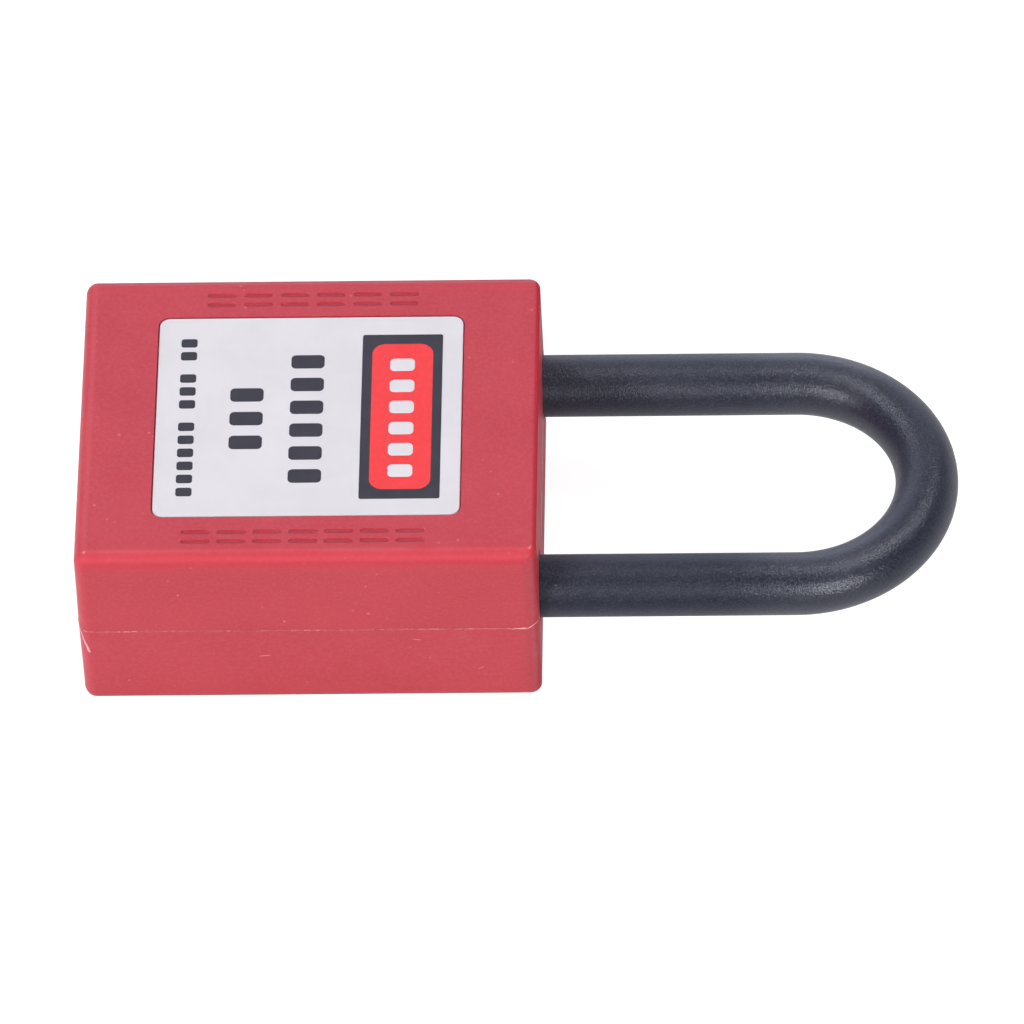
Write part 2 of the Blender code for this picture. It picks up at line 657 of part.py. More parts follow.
def build_actuator(axis):
    """Disc with two crank pins, on a shaft whose tang fits the plug's tail slot."""
    actuator = turned(
        [
            (DISC_RADIUS - DISC_CHAMFER, DISC_HIGH_X),
            (DISC_RADIUS, DISC_HIGH_X - DISC_CHAMFER),
            (DISC_RADIUS, DISC_LOW_X),
            (TAIL_SHAFT_RADIUS, DISC_LOW_X),
            (TAIL_SHAFT_RADIUS, TAIL_SHAFT_LOW_X),
        ],
        axis.location, 28,
    )
    tang = mid_box(
        TANG_LOW_X, TAIL_SHAFT_LOW_X + TANG_ROOT, -TANG_HALF_Y, TANG_HALF_Y, TANG_HALF_Z)
    join(actuator, tang, "join_tang")
    for side, bolt_side in ((1, "toe"), (-1, "heel")):
        crank = x_rod(
            CRANK_PIN_RADIUS, DISC_HIGH_X - CRANK_PIN_ROOT, CRANK_PIN_TOP_X, 14,
            z=MID_Z + side * CRANK_RADIUS)
        join(actuator, crank, f"join_{bolt_side}_crank")
    as_part(actuator, "actuator", steel("actuator", roughness=0.4))
    parent_to(actuator, axis)


# ---------------------------------------------------------------- pin stacks
def build_key_pin(number, x, length, axis):
    pin = turned(
        [
            (PIN_RADIUS - PIN_CHAMFER, 0.0),
            (PIN_RADIUS, -PIN_CHAMFER),
            (PIN_RADIUS, -length + KEY_PIN_CONE),
            (KEY_PIN_TIP_RADIUS, -length),
        ],
        (x, -KEY_PIN_OUTER_Y, MID_Z), 12, TOWARDS_TOE,
    )
    name = f"key_pin_{number}"
    as_part(pin, name, brass(name, roughness=0.3))
    parent_to(pin, axis)


def build_driver_pin(number, x):
    half_length = DRIVER_LENGTH / 2
    pin = turned(
        [
            (PIN_RADIUS - PIN_CHAMFER, half_length),
            (PIN_RADIUS, half_length - PIN_CHAMFER),
            (PIN_RADIUS, -half_length + PIN_CHAMFER),
            (PIN_RADIUS - PIN_CHAMFER, -half_length),
        ],
        (x, -DRIVER_INNER_Y - half_length, MID_Z), 12, TOWARDS_TOE,
    )
    name = f"driver_pin_{number}"
    as_part(pin, name, steel(name, roughness=0.3))


def build_driver_spring(number, x):
    inner_y = -DRIVER_INNER_Y - DRIVER_LENGTH - DRIVER_SPRING_WIRE - DRIVER_SPRING_GAP
    outer_y = -COVER_GROOVE_Y + DRIVER_SPRING_WIRE + DRIVER_SPRING_GAP
    coil = wire(
        helix(DRIVER_SPRING_RADIUS, inner_y - outer_y, DRIVER_SPRING_TURNS, per_turn=9),
        DRIVER_SPRING_WIRE, 0, (x, outer_y, MID_Z), TURN["Y"])
    name = f"driver_spring_{number}"
    as_part(smooth(coil, 70), name, steel(name, roughness=0.35))


# ---------------------------------------------------------------- bolts
# Toe bolt section, as (y, z) from the plug axis
BOLT_OUTLINE = (
    (-BOLT_TIP_Y, -BOLT_NOSE_HALF_Z), (-BOLT_NOSE_START_Y, -BOLT_NOSE_HALF_Z),
    (-BOLT_NOSE_START_Y, BOLT_ARM_LOW_Z), (-BOLT_SLOT_HALF_Y, BOLT_ARM_LOW_Z),
    (-BOLT_SLOT_HALF_Y, BOLT_SLOT_TOP_Z), (BOLT_SLOT_HALF_Y, BOLT_SLOT_TOP_Z),
    (BOLT_SLOT_HALF_Y, BOLT_ARM_LOW_Z), (BOLT_ARM_END_Y, BOLT_ARM_LOW_Z),
    (BOLT_ARM_END_Y, BOLT_ARM_HIGH_Z), (-BOLT_STEP_Y, BOLT_ARM_HIGH_Z),
    (-BOLT_STEP_Y, BOLT_NOSE_HALF_Z), (-BOLT_TIP_Y, BOLT_NOSE_HALF_Z),
)


def build_bolts():
    """The heel bolt is the toe bolt given a half turn about the plug axis."""
    for side, name in ((1, "toe_bolt"), (-1, "heel_bolt")):
        outline = [(side * y, side * z) for y, z in BOLT_OUTLINE]
        bolt = section_plate(outline, BOLT_LOW_X, BOLT_HIGH_X)
        as_part(bolt, name, steel(name, roughness=0.35))


# ---------------------------------------------------------------- frame
def build_frame():
    """Parents every loose object to one empty, which centres the footprint."""
    frame = empty("padlock_frame", (0.0, 0.0, 0.0))
    for obj in list(parts.objects) + list(cutters.objects):
        if obj is not frame and obj.parent is None:
            obj.parent = frame
    high_x = BEND_CENTRE_X + SHACKLE_HALF_SPAN + SHACKLE_RADIUS
    frame.location.x = -(high_x - HALF_LENGTH) / 2


build_body()
label("front_label", BODY_THICKNESS - RECESS_DEPTH + LABEL_GAP)
label("back_label", RECESS_DEPTH - LABEL_GAP - LABEL_THICKNESS)
build_shackle()
build_shackle_spring()
build_retaining_pin()
build_housing()
build_chamber_cover()
plug_axis = empty("plug_turn_axis", (0.0, 0.0, MID_Z))
build_plug(plug_axis)
build_plug_clip(plug_axis)
build_actuator(plug_axis)
for pin_number, (pin_x, pin_length) in enumerate(zip(PIN_PLACES, KEY_PIN_LENGTHS), 1):
    build_key_pin(pin_number, pin_x, pin_length, plug_axis)
    build_driver_pin(pin_number, pin_x)
    build_driver_spring(pin_number, pin_x)
build_bolts()
build_frame()
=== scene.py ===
"""Looks of the safety padlock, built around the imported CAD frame.

The padlock lies on its back in metres: shackle towards +X, plug face towards -X, front face
up at z = FACE_Z, back face at z = 0, and the parting plane half way. The near side is -Y.
Pieces are laid out with the body centred on x = 0 and moved into the frame by settle().
"""
import json
import math

import bmesh
import bpy
from mathutils import Matrix, Vector, noise

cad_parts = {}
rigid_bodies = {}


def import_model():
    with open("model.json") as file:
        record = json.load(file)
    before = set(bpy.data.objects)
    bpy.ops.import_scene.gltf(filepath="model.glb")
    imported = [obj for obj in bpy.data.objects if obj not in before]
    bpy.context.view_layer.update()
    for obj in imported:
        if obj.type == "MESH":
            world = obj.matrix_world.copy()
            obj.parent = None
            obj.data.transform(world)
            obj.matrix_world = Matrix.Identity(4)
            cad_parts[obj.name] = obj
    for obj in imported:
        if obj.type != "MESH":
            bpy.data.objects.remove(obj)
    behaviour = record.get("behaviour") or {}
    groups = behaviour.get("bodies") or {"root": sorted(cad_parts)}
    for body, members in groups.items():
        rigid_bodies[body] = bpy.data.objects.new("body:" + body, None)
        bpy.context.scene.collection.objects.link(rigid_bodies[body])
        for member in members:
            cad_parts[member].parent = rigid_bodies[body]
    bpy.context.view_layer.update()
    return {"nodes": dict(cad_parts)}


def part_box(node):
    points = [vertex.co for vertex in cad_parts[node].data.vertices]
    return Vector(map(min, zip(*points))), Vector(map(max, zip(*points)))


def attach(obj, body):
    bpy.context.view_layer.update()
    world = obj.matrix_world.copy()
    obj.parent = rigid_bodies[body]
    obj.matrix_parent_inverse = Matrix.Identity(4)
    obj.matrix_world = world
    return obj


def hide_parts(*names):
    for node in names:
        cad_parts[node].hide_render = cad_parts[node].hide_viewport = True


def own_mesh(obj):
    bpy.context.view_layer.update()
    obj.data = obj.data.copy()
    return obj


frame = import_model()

scene = bpy.context.scene
looks = bpy.data.collections.new("looks")
scene.collection.children.link(looks)
tools = bpy.data.collections.new("tools")
scene.collection.children.link(tools)

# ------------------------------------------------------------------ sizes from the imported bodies
shell_low, shell_high = (Vector(corner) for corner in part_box("front_shell"))
BODY_X = (shell_low.x + shell_high.x) / 2      # centre of the body in the frame


def centred_box(node):
    return [Vector(corner) - Vector((BODY_X, 0, 0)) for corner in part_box(node)]


HALF_X, HALF_Y, FACE_Z = centred_box("front_shell")[1]
MID_Z = FACE_Z / 2                             # parting plane
SHACKLE_LOW, SHACKLE_HIGH = centred_box("shackle")
LABEL_LOW, LABEL_HIGH = centred_box("front_label")
BACK_LABEL_LOW, BACK_LABEL_HIGH = centred_box("back_label")
PLUG_FACE_X = centred_box("plug")[0].x
ROD = (SHACKLE_HIGH.z - SHACKLE_LOW.z) / 2     # radius of the shackle rod
SPAN = SHACKLE_HIGH.y - ROD                    # y of the leg axes, either side
BEND_X = SHACKLE_HIGH.x - SPAN - ROD           # centre of the bend
LEG_INNER_Y = SPAN - ROD

# ------------------------------------------------------------------ shared sizes
PARTING_GAP = 0.0001
EDGE = 0.0015                   # rounding of the face edges
EDGE_TOP = 0.00075              # tighter at the shackle end
CORNER = 0.00125                # upright corners at the key end
CORNER_TOP = 0.0016             # and at the shackle end
BULGE = 0.00007                 # draft: each half is widest at the parting plane
PAST = 0.002                    # how far cutters run past the outside
LABEL_RADIUS = 0.0011
LABEL_CLEARANCE = 0.00013       # gap between a label and its recess
PIN_X = [-0.0175 + i * 0.0035 for i in range(5)]


# ------------------------------------------------------------------ small mesh tools
def around(middle, half):
    return middle - half, middle + half


def new_object(name, bm, collection=tools):
    mesh = bpy.data.meshes.new(name)
    bm.to_mesh(mesh)
    bm.free()
    obj = bpy.data.objects.new(name, mesh)
    collection.objects.link(obj)
    return obj


def slot(x, y, half_height):
    """Box over the x and y ranges, centred on the parting plane."""
    low = Vector((x[0], y[0], MID_Z - half_height))
    high = Vector((x[1], y[1], MID_Z + half_height))
    shape = Matrix.Translation((low + high) / 2) @ Matrix.Diagonal((*(high - low), 1.0))
    bm = bmesh.new()
    bmesh.ops.create_cube(bm, size=1.0, matrix=shape)
    return new_object("slot", bm)


def rod(radius, start, end, sides=64, end_radius=None):
    start, end = Vector(start), Vector(end)
    run = end - start
    turn = run.to_track_quat("Z", "Y").to_matrix().to_4x4()
    bm = bmesh.new()
    bmesh.ops.create_cone(bm, cap_ends=True, segments=sides, radius1=radius,
                          radius2=radius if end_radius is None else end_radius,
                          depth=run.length, matrix=Matrix.Translation((start + end) / 2) @ turn)
    return new_object("rod", bm)


def bore(radius, x, y=0.0, sides=64, end_radius=None):
    """Rod along X in the parting plane."""
    return rod(radius, (x[0], y, MID_Z), (x[1], y, MID_Z), sides, end_radius)


def slab(x, y, z, radius, steps=8):
    """Rounded rectangle over the x and y ranges, standing along Z."""
    (x0, x1), (y0, y1), (z0, z1) = x, y, z
    corners = ((x1 - radius, y1 - radius), (x0 + radius, y1 - radius),
               (x0 + radius, y0 + radius), (x1 - radius, y0 + radius))
    ring = []
    for quarter, (corner_x, corner_y) in enumerate(corners):
        for i in range(steps + 1):
            angle = (quarter + i / steps) * math.pi / 2
            ring.append((corner_x + radius * math.cos(angle), corner_y + radius * math.sin(angle)))
    bm = bmesh.new()
    low = [bm.verts.new((x, y, z0)) for x, y in ring]
    top = [bm.verts.new((x, y, z1)) for x, y in ring]
    bm.faces.new(top)
    bm.faces.new(list(reversed(low)))
    for i in range(len(ring)):
        j = (i + 1) % len(ring)
        bm.faces.new((low[i], low[j], top[j], top[i]))
    return new_object("slab", bm)


def loft(name, rings, collection=tools, along_first=False):
    """Closed skin through rings of points; along_first sets the order of each quad's corners."""
    bm = bmesh.new()
    rings = [[bm.verts.new(point) for point in ring] for ring in rings]
    for low, high in zip(rings, rings[1:]):
        for i in range(len(low)):
            j = (i + 1) % len(low)
            if along_first:
                bm.faces.new((low[i], high[i], high[j], low[j]))
            else:
                bm.faces.new((low[i], low[j], high[j], high[i]))
    bm.faces.new(rings[0])
    bm.faces.new(list(reversed(rings[-1])))
    bmesh.ops.recalc_face_normals(bm, faces=bm.faces)
    return new_object(name, bm, collection)


def cut(obj, other, operation="DIFFERENCE"):
    modifier = obj.modifiers.new("cut", "BOOLEAN")
    modifier.operation = operation
    modifier.solver = "EXACT"
    modifier.object = other


def bake(obj, name, collection=looks):
    """Clean object with every modifier of obj applied."""
    bpy.context.view_layer.update()
    evaluated = obj.evaluated_get(bpy.context.evaluated_depsgraph_get())
    mesh = bpy.data.meshes.new_from_object(evaluated)
    mesh.name = name
    mesh.materials.clear()
    baked = bpy.data.objects.new(name, mesh)
    collection.objects.link(baked)
    return baked


def shade(obj, sharp_degrees, weighted=True):
    obj.data.shade_smooth()
    obj.data.set_sharp_from_angle(angle=math.radians(sharp_degrees))
    if weighted:
        modifier = obj.modifiers.new("WeightedNormal", "WEIGHTED_NORMAL")
        modifier.keep_sharp = True
        modifier.mode = "FACE_AREA"
        modifier.weight = 80


def settle(obj, body, stands_for=None):
    """Moves a finished piece from the centred layout to the frame, parents it to its body and hides
    the CAD part it stands for.
    """
    obj.data.transform(Matrix.Translation((BODY_X, 0, 0)))
    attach(obj, body)
    if stands_for:
        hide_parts(stands_for)


# ------------------------------------------------------------------ node helpers
def feed(tree, socket, value):
    """Links or sets an input; a colour of three numbers is made opaque."""
    if isinstance(value, Value):
        value = value.socket
    if isinstance(value, bpy.types.NodeSocket):
        tree.links.new(value, socket)
    elif isinstance(value, (tuple, list)) and len(value) == 3 and socket.type == "RGBA":
        socket.default_value = (*value, 1.0)
    else:
        socket.default_value = value


def add_node(tree, kind, inputs=None, **settings):
    node = tree.nodes.new(kind)
    for key, value in settings.items():
        setattr(node, key, value)
    for key, value in (inputs or {}).items():
        feed(tree, node.inputs[key], value)
    return node


def operator(operation, swapped=False):
    def apply(value, other=0.0):
        first, second = (other, value) if swapped else (value, other)
        return value.look.math(operation, first, second)
    return apply


class Value:
    """Output of a node; arithmetic on it adds Math nodes."""

    def __init__(self, look, socket):
        self.look = look
        self.socket = socket

    __add__ = operator("ADD")
    __radd__ = operator("ADD", swapped=True)
    __sub__ = operator("SUBTRACT")
    __rsub__ = operator("SUBTRACT", swapped=True)
    __mul__ = operator("MULTIPLY")
    __truediv__ = operator("DIVIDE")
    __pow__ = operator("POWER")
    __abs__ = operator("ABSOLUTE")
    maximum = operator("MAXIMUM")
    sine = operator("SINE")
    sqrt = operator("SQRT")

    def clamped(self, operation, other):
        return self.look.math(operation, self, other, clamp=True)

    def ramp(self, over, give=(0.0, 1.0)):
        """Smooth step from give[0] to give[1] while the value runs over the given range."""
        inputs = {"Value": self, "From Min": over[0], "From Max": over[1],
                  "To Min": give[0], "To Max": give[1]}
        return self.look.value("ShaderNodeMapRange", "Result", inputs,
                               interpolation_type="SMOOTHSTEP")


class Look:
    """Shorthand for building one material's node tree."""

    def __init__(self, name):
        self.material = bpy.data.materials.new(name)
        self.material.use_nodes = True
        self.tree = self.material.node_tree
        self.shader = self.tree.nodes["Principled BSDF"]
        coords = self.value("ShaderNodeTexCoord", "Object")
        self.position = self.value("ShaderNodeVectorMath", 0, {0: coords, 1: (-BODY_X, 0, 0)},
                                   operation="ADD")

    def value(self, kind, output, inputs=None, **settings):
        return Value(self, add_node(self.tree, kind, inputs, **settings).outputs[output])

    def math(self, operation, first, second, clamp=False):
        return self.value("ShaderNodeMath", 0, {0: first, 1: second},
                          operation=operation, use_clamp=clamp)

    def mapped(self, seed, stretch):
        return self.value("ShaderNodeMapping", 0, {
            "Vector": self.position, "Location": (seed, seed * 0.7, seed * 1.3),
            "Scale": stretch})

    def noise(self, scale, seed, detail=2.0, rough=0.5, stretch=(1, 1, 1)):
        return self.value("ShaderNodeTexNoise", "Fac", {
            "Vector": self.mapped(seed, stretch), "Scale": scale,
            "Detail": detail, "Roughness": rough})

    def specks(self, scale, size, patch_scale, patch, seeds):
        """Dots at cell centres, faded over size, kept only where a broad noise is over patch."""
        cell = self.value("ShaderNodeTexVoronoi", "Distance", {
            "Vector": self.mapped(seeds[0], (1, 1, 1)), "Scale": scale, "Randomness": 1.0})
        chance = self.noise(scale=patch_scale, detail=1, seed=seeds[1])
        return cell.ramp(over=size, give=(1, 0)) * chance.ramp(over=patch)

    def mix(self, base, other, by):
        return self.value("ShaderNodeMix", 2, {0: by, 6: base, 7: other},
                          data_type="RGBA", blend_type="MIX")

    def split(self, vector):
        node = add_node(self.tree, "ShaderNodeSeparateXYZ", {0: vector})
        return [Value(self, output) for output in node.outputs]

    def normal(self, kind):
        return self.split(self.value("ShaderNodeNewGeometry", kind))

    def rounded_edges(self):
        """1 on rounded edges, 0 on faces that lie square to the axes."""
        x, y, z = [abs(part) for part in self.normal("True Normal")]
        return x.maximum(y).maximum(z).ramp(over=(0.72, 0.97), give=(1, 0))

    def bump(self, height, distance, strength, soft=0.0):
        inputs = {"Height": height, "Distance": distance, "Strength": strength}
        if soft:
            inputs["Normal"] = self.value("ShaderNodeBevel", 0, {"Radius": soft}, samples=4)
        feed(self.tree, self.shader.inputs["Normal"], self.value("ShaderNodeBump", 0, inputs))

    def finish(self, colour, rough, metal=0.0, ior=1.47, specular=0.5):
        inputs = {"Base Color": colour, "Roughness": rough, "Metallic": metal,
                  "IOR": ior, "Specular IOR Level": specular}
        for key, value in inputs.items():
            feed(self.tree, self.shader.inputs[key], value)
        return self.material


def scaled(tone, factor, lift=0.0):
    return tuple(min(1.0, part * factor + lift) for part in tone)


# ------------------------------------------------------------------ red plastic
RED = (0.545, 0.043, 0.062)
RED_DEEP = (0.512, 0.037, 0.054)
RED_PALE = (0.660, 0.150, 0.170)
RED_SPECK = (0.80, 0.27, 0.31)
RED_PAINTED_EDGE_LIGHT = (0.590, 0.041, 0.058)      # painted highlight on and beside the rounded face edges
RED_HAZE = (0.80, 0.30, 0.33)         # beside the parting line
RED_CHAFE = (0.95, 0.42, 0.45)
RED_MARK = (0.93, 0.36, 0.38)
# painted shade for the sunk floors of the grooves and the label recess
RED_SUNK_SHADE = (0.330, 0.012, 0.026)
HANDLING_MARKS = (
    # x, z, half length, half width, slope
    (-0.0048, 0.0075, 0.00065, 0.00007, 0.10), (-0.0134, 0.0175, 0.00013, 0.00010, 0.0),
    (0.0112, 0.0100, 0.00050, 0.00006, -0.2), (-0.0192, 0.0036, 0.00010, 0.00008, 0.0),
    (0.0062, 0.0187, 0.00009, 0.00008, 0.0), (0.0178, 0.0052, 0.00035, 0.00005, 0.5),
)


def parting_haze(look, x, y, z):
    """Pale haze beside the parting line, on the outside only."""
    band = abs(z - MID_Z).ramp(over=(0.00006, 0.00020), give=(1, 0))
    side_skin = abs(y).ramp(over=(HALF_Y - 0.0003, HALF_Y - 0.0001))
    end_skin = abs(x).ramp(over=(HALF_X - 0.0003, HALF_X - 0.0001))
    fine = look.noise(scale=2100, detail=3, rough=0.65, seed=6.1)
    broad = look.noise(scale=380, seed=6.6)
    haze = band * side_skin.maximum(end_skin) * fine.ramp(over=(0.42, 0.64))
    return haze * broad.ramp(over=(0.36, 0.60), give=(0.30, 1.0))


def corner_chafe(look, x, y, z):
    """Thin pale streak running down from the key-end corner of the near side."""
    streak_top, streak_height, streak_drift, wander = 0.0117, 0.0034, 0.00095, 0.00022
    near = y.ramp(over=(-HALF_Y + 0.0011, -HALF_Y + 0.0013), give=(1, 0))
    run = (streak_top - z) / streak_height      # 0 at the top of the streak, 1 at its foot
    centre = -HALF_X - 0.00002 + run * streak_drift
    jitter = (look.noise(scale=2600, detail=3, rough=0.7, seed=4.4) - 0.5) * wander
    offset = abs(x - centre + jitter)
    width = run.ramp(over=(0.2, 0.9), give=(0.00006, 0.00013))
    line = (offset / width).ramp(over=(0.6, 1.3), give=(1, 0))
    length = run.ramp(over=(-0.02, 0.06)) * run.ramp(over=(0.96, 1.04), give=(1, 0))
    return line * length * near


def with_handling_marks(look, tone, x, y, z):
    near = y.ramp(over=(-HALF_Y + 0.0002, -HALF_Y + 0.0006), give=(1, 0))
    for mark_x, mark_z, length, width, slope in HANDLING_MARKS:
        along = x - mark_x
        across = z - mark_z - along * slope
        spread = abs(along / length) ** 2.0 + abs(across / width) ** 2.0
        mark = spread.ramp(over=(0.4, 1.3), give=(0.62, 0)) * near
        tone = look.mix(tone, RED_MARK, by=mark * 1.0)
    return tone


def sunk_floor_shade(look, z):
    """Level surfaces just below the front face, which get painted shade."""
    level = abs(look.normal("True Normal")[2]).ramp(over=(0.96, 0.99))
    below = z.ramp(over=(FACE_Z - 0.00018, FACE_Z - 0.00010), give=(1, 0))
    return level * (below * z.ramp(over=(FACE_Z - 0.0008, FACE_Z - 0.0006)))


def red_plastic(name, seed):
    look = Look(name)
    x, y, z = look.split(look.position)
    broad = look.noise(scale=90, detail=3, rough=0.55, seed=seed)
    grain = look.noise(scale=2600, detail=3, rough=0.6, seed=seed + 0.2)
    tone = look.mix(RED_DEEP, RED, by=broad.ramp(over=(0.30, 0.70)))
    tone = look.mix(tone, RED_PALE, by=grain.ramp(over=(0.35, 0.75), give=(0, 0.16)))
    # sparse pale specks
    speck = look.specks(scale=620, size=(0.04, 0.15), patch_scale=190, patch=(0.52, 0.66),
                        seeds=(seed + 0.5, seed + 0.9))
    tone = look.mix(tone, RED_SPECK, by=speck * 0.50)
    # fine scratches, long and thin
    scratch = look.noise(scale=300, stretch=(1.0, 16.0, 16.0), seed=seed + 1.7)
    patch = look.noise(scale=120, detail=1, seed=seed + 2.3)
    line = scratch.ramp(over=(0.735, 0.775)) * patch.ramp(over=(0.56, 0.68))
    tone = look.mix(tone, RED_PALE, by=line * 0.35)
    # rubbed edges, held back on the rounded face edges where the painted highlight band lies
    rubbed = look.noise(scale=700, detail=3, rough=0.6, seed=seed + 3.1)
    wear = look.rounded_edges() * rubbed.ramp(over=(0.40, 0.72))
    normal_x, normal_y, normal_z = look.normal("Normal")
    tilt = abs(normal_z)
    # mask of the band of painted highlight along the rounded face edges
    painted_light_band = tilt.ramp(over=(0.08, 0.50)) * tilt.ramp(over=(0.80, 0.99), give=(1, 0))
    front_band = z.ramp(over=(FACE_Z - 0.0021, FACE_Z - 0.0015))
    painted_light_band = painted_light_band * front_band.maximum(z.ramp(over=(0.0015, 0.0021), give=(1, 0)))
    tone = look.mix(tone, RED_PALE, by=wear * (0.26 - painted_light_band * 0.20))
    # painted highlight: the rounded face edges, except at the key end, get a broad, brighter and
    # redder band, duller in sheen, and a painted spill of that light onto the adjoining flats
    facing = abs(normal_y).ramp(over=(0.08, 0.40))
    painted_light_band = painted_light_band * facing.maximum(normal_x.ramp(over=(0.08, 0.40)))
    away = (HALF_Y - abs(y)).maximum(MID_Z - abs(z - MID_Z))
    painted_light_spill = away.ramp(over=(0.0006, 0.0036), give=(0.42, 0))
    tone = look.mix(tone, RED_PAINTED_EDGE_LIGHT, by=(painted_light_band * 0.62).maximum(painted_light_spill))
    tone = look.mix(tone, RED_HAZE, by=parting_haze(look, x, y, z) * 0.45)
    tone = look.mix(tone, RED_CHAFE, by=corner_chafe(look, x, y, z) * 0.9)
    tone = with_handling_marks(look, tone, x, y, z)
    # painted shade on the sunk floors of the grooves and the label recess
    tone = look.mix(tone, RED_SUNK_SHADE, by=sunk_floor_shade(look, z) * 0.28)
    # duller on the specks, the rounded edges and the shackle end
    end = x.ramp(over=(HALF_X - 0.0007, HALF_X - 0.0002))
    rough = look.noise(scale=420, detail=3, rough=0.6, seed=seed + 4.0)
    rough = rough.ramp(over=(0.3, 0.7), give=(0.31, 0.40))
    for part, amount in ((speck, 0.12), (painted_light_band, 0.12), (end, 0.13)):
        rough = rough.clamped("ADD", part * amount)
    specular = (0.5 - painted_light_band * 0.26).clamped("SUBTRACT", end * 0.34)
    texture = look.noise(scale=3600, rough=0.6, seed=seed) * 1.0
    texture = texture + look.noise(scale=160, seed=seed + 5) * 3.0
    look.bump(texture, distance=0.000012, strength=0.55, soft=0.00012)
    return look.finish(tone, rough, specular=specular)


# ------------------------------------------------------------------ other materials
NYLON = (0.0125, 0.0143, 0.0255)
NYLON_LIFT = (0.0182, 0.0203, 0.0345)
NYLON_PALE = (0.14, 0.145, 0.17)
NYLON_GRAIN = (0.0350, 0.0375, 0.0540)
NYLON_PIT = (0.0085, 0.0095, 0.0180)
NYLON_RIM_SHEEN = (0.0560, 0.0600, 0.0860)      # painted sheen where the skin turns away from the eye


def black_nylon(name, seed):
    look = Look(name)
    mottle = look.noise(scale=850, detail=4, rough=0.65, seed=seed)
    tone = look.mix(NYLON, NYLON_LIFT, by=mottle.ramp(over=(0.35, 0.68)))
    broad = look.noise(scale=110, seed=seed + 0.4)
    tone = look.mix(tone, NYLON_LIFT, by=broad.ramp(over=(0.35, 0.75), give=(0, 0.5)))
    # cast-in grain
    grain = look.noise(scale=4800, detail=1, seed=seed + 0.1)
    fine = look.noise(scale=9000, detail=1, seed=seed + 0.6)
    tone = look.mix(tone, NYLON_GRAIN, by=grain.ramp(over=(0.46, 0.68), give=(0, 0.80)))
    tone = look.mix(tone, NYLON_PIT, by=grain.ramp(over=(0.30, 0.46), give=(0.30, 0)))
    speck = look.specks(scale=1300, size=(0.05, 0.15), patch_scale=330, patch=(0.55, 0.68),
                        seeds=(seed + 0.8, seed + 1.3))
    tone = look.mix(tone, NYLON_PALE, by=speck * 0.7)
    scratch = look.noise(scale=260, stretch=(1.0, 14.0, 14.0), seed=seed + 2.0)
    tone = look.mix(tone, NYLON_PALE, by=scratch.ramp(over=(0.73, 0.78), give=(0, 0.35)))
    texture = grain + fine * 0.5 + look.noise(scale=700, seed=seed + 3) * 0.8
    look.bump(texture, distance=0.00005, strength=1.0)
    # painted sheen: lighter where the skin turns away from the eye
    facing = look.value("ShaderNodeLayerWeight", "Facing", {"Blend": 0.40})
    tone = look.mix(tone, NYLON_RIM_SHEEN, by=facing.ramp(over=(0.08, 0.55), give=(0, 0.75)))
    # the bend is shinier than the legs, and the near leg is the dullest
    x, y, _ = look.split(look.position)
    onto_bend = (BEND_X - 0.008, BEND_X + 0.001)
    bend = x.ramp(over=onto_bend)
    bend = bend * x.ramp(over=(BEND_X + 0.006, BEND_X + 0.011), give=(1, 0))
    near_leg = x.ramp(over=onto_bend, give=(1, 0)) * y.ramp(over=(-0.004, 0.004), give=(1, 0))
    specular = 0.38 + bend * 0.24 - near_leg * 0.14
    rough = grain.ramp(over=(0.30, 0.70), give=(0.29, 0.36))
    rough = rough + x.ramp(over=(BEND_X - 0.012, BEND_X - 0.001), give=(0.10, 0))
    return look.finish(tone, rough, ior=1.46, specular=specular)


FILM_TONE = (0.742, 0.708, 0.722)
FILM_SPREAD = 0.03                    # share the film's tone varies by, up and down
FILM_DUST = (0.30, 0.29, 0.30)


def film(name, seed):
    look = Look(name)
    dull = scaled(FILM_TONE, 1 - FILM_SPREAD)
    bright = scaled(FILM_TONE, 1 + FILM_SPREAD)
    broad = look.noise(scale=140, detail=3, rough=0.6, seed=seed)
    tone = look.mix(dull, bright, by=broad.ramp(over=(0.3, 0.7)))
    fibre = look.noise(scale=2600, rough=0.6, seed=seed + 0.6)
    tone = look.mix(tone, dull, by=fibre.ramp(over=(0.35, 0.8), give=(0, 0.18)))
    dust = look.specks(scale=900, size=(0.03, 0.12), patch_scale=260, patch=(0.66, 0.76),
                       seeds=(seed + 0.9, seed + 1.1))
    tone = look.mix(tone, FILM_DUST, by=dust * 0.25)
    rough = look.noise(scale=500, detail=3, rough=0.6, seed=seed + 1.6)
    texture = look.noise(scale=900, detail=3, rough=0.6, seed=seed)
    look.bump(texture, distance=0.000008, strength=0.4, soft=0.00006)
    return look.finish(tone, rough.ramp(over=(0.25, 0.75), give=(0.30, 0.42)))


def ink(name, tone, seed):
    look = Look(name)
    dull = scaled(tone, 0.93)
    bright = scaled(tone, 1.12, lift=0.006)
    broad = look.noise(scale=1400, detail=3, rough=0.6, seed=seed)
    fine = look.noise(scale=3800, rough=0.6, seed=seed + 1)
    colour = look.mix(dull, tone, by=broad.ramp(over=(0.35, 0.7)))
    colour = look.mix(colour, bright, by=fine.ramp(over=(0.55, 0.8), give=(0, 0.6)))
    rough = look.noise(scale=700, rough=0.6, seed=seed + 2)
    texture = look.noise(scale=1500, detail=3, rough=0.6, seed=seed)
    look.bump(texture, distance=0.000006, strength=0.4)
    return look.finish(colour, rough.ramp(over=(0.3, 0.7), give=(0.36, 0.46)))


RINGS_X, RINGS_Y = (30.0, 1.0, 1.0), (1.0, 30.0, 1.0)      # noise stretch for rings round an axis


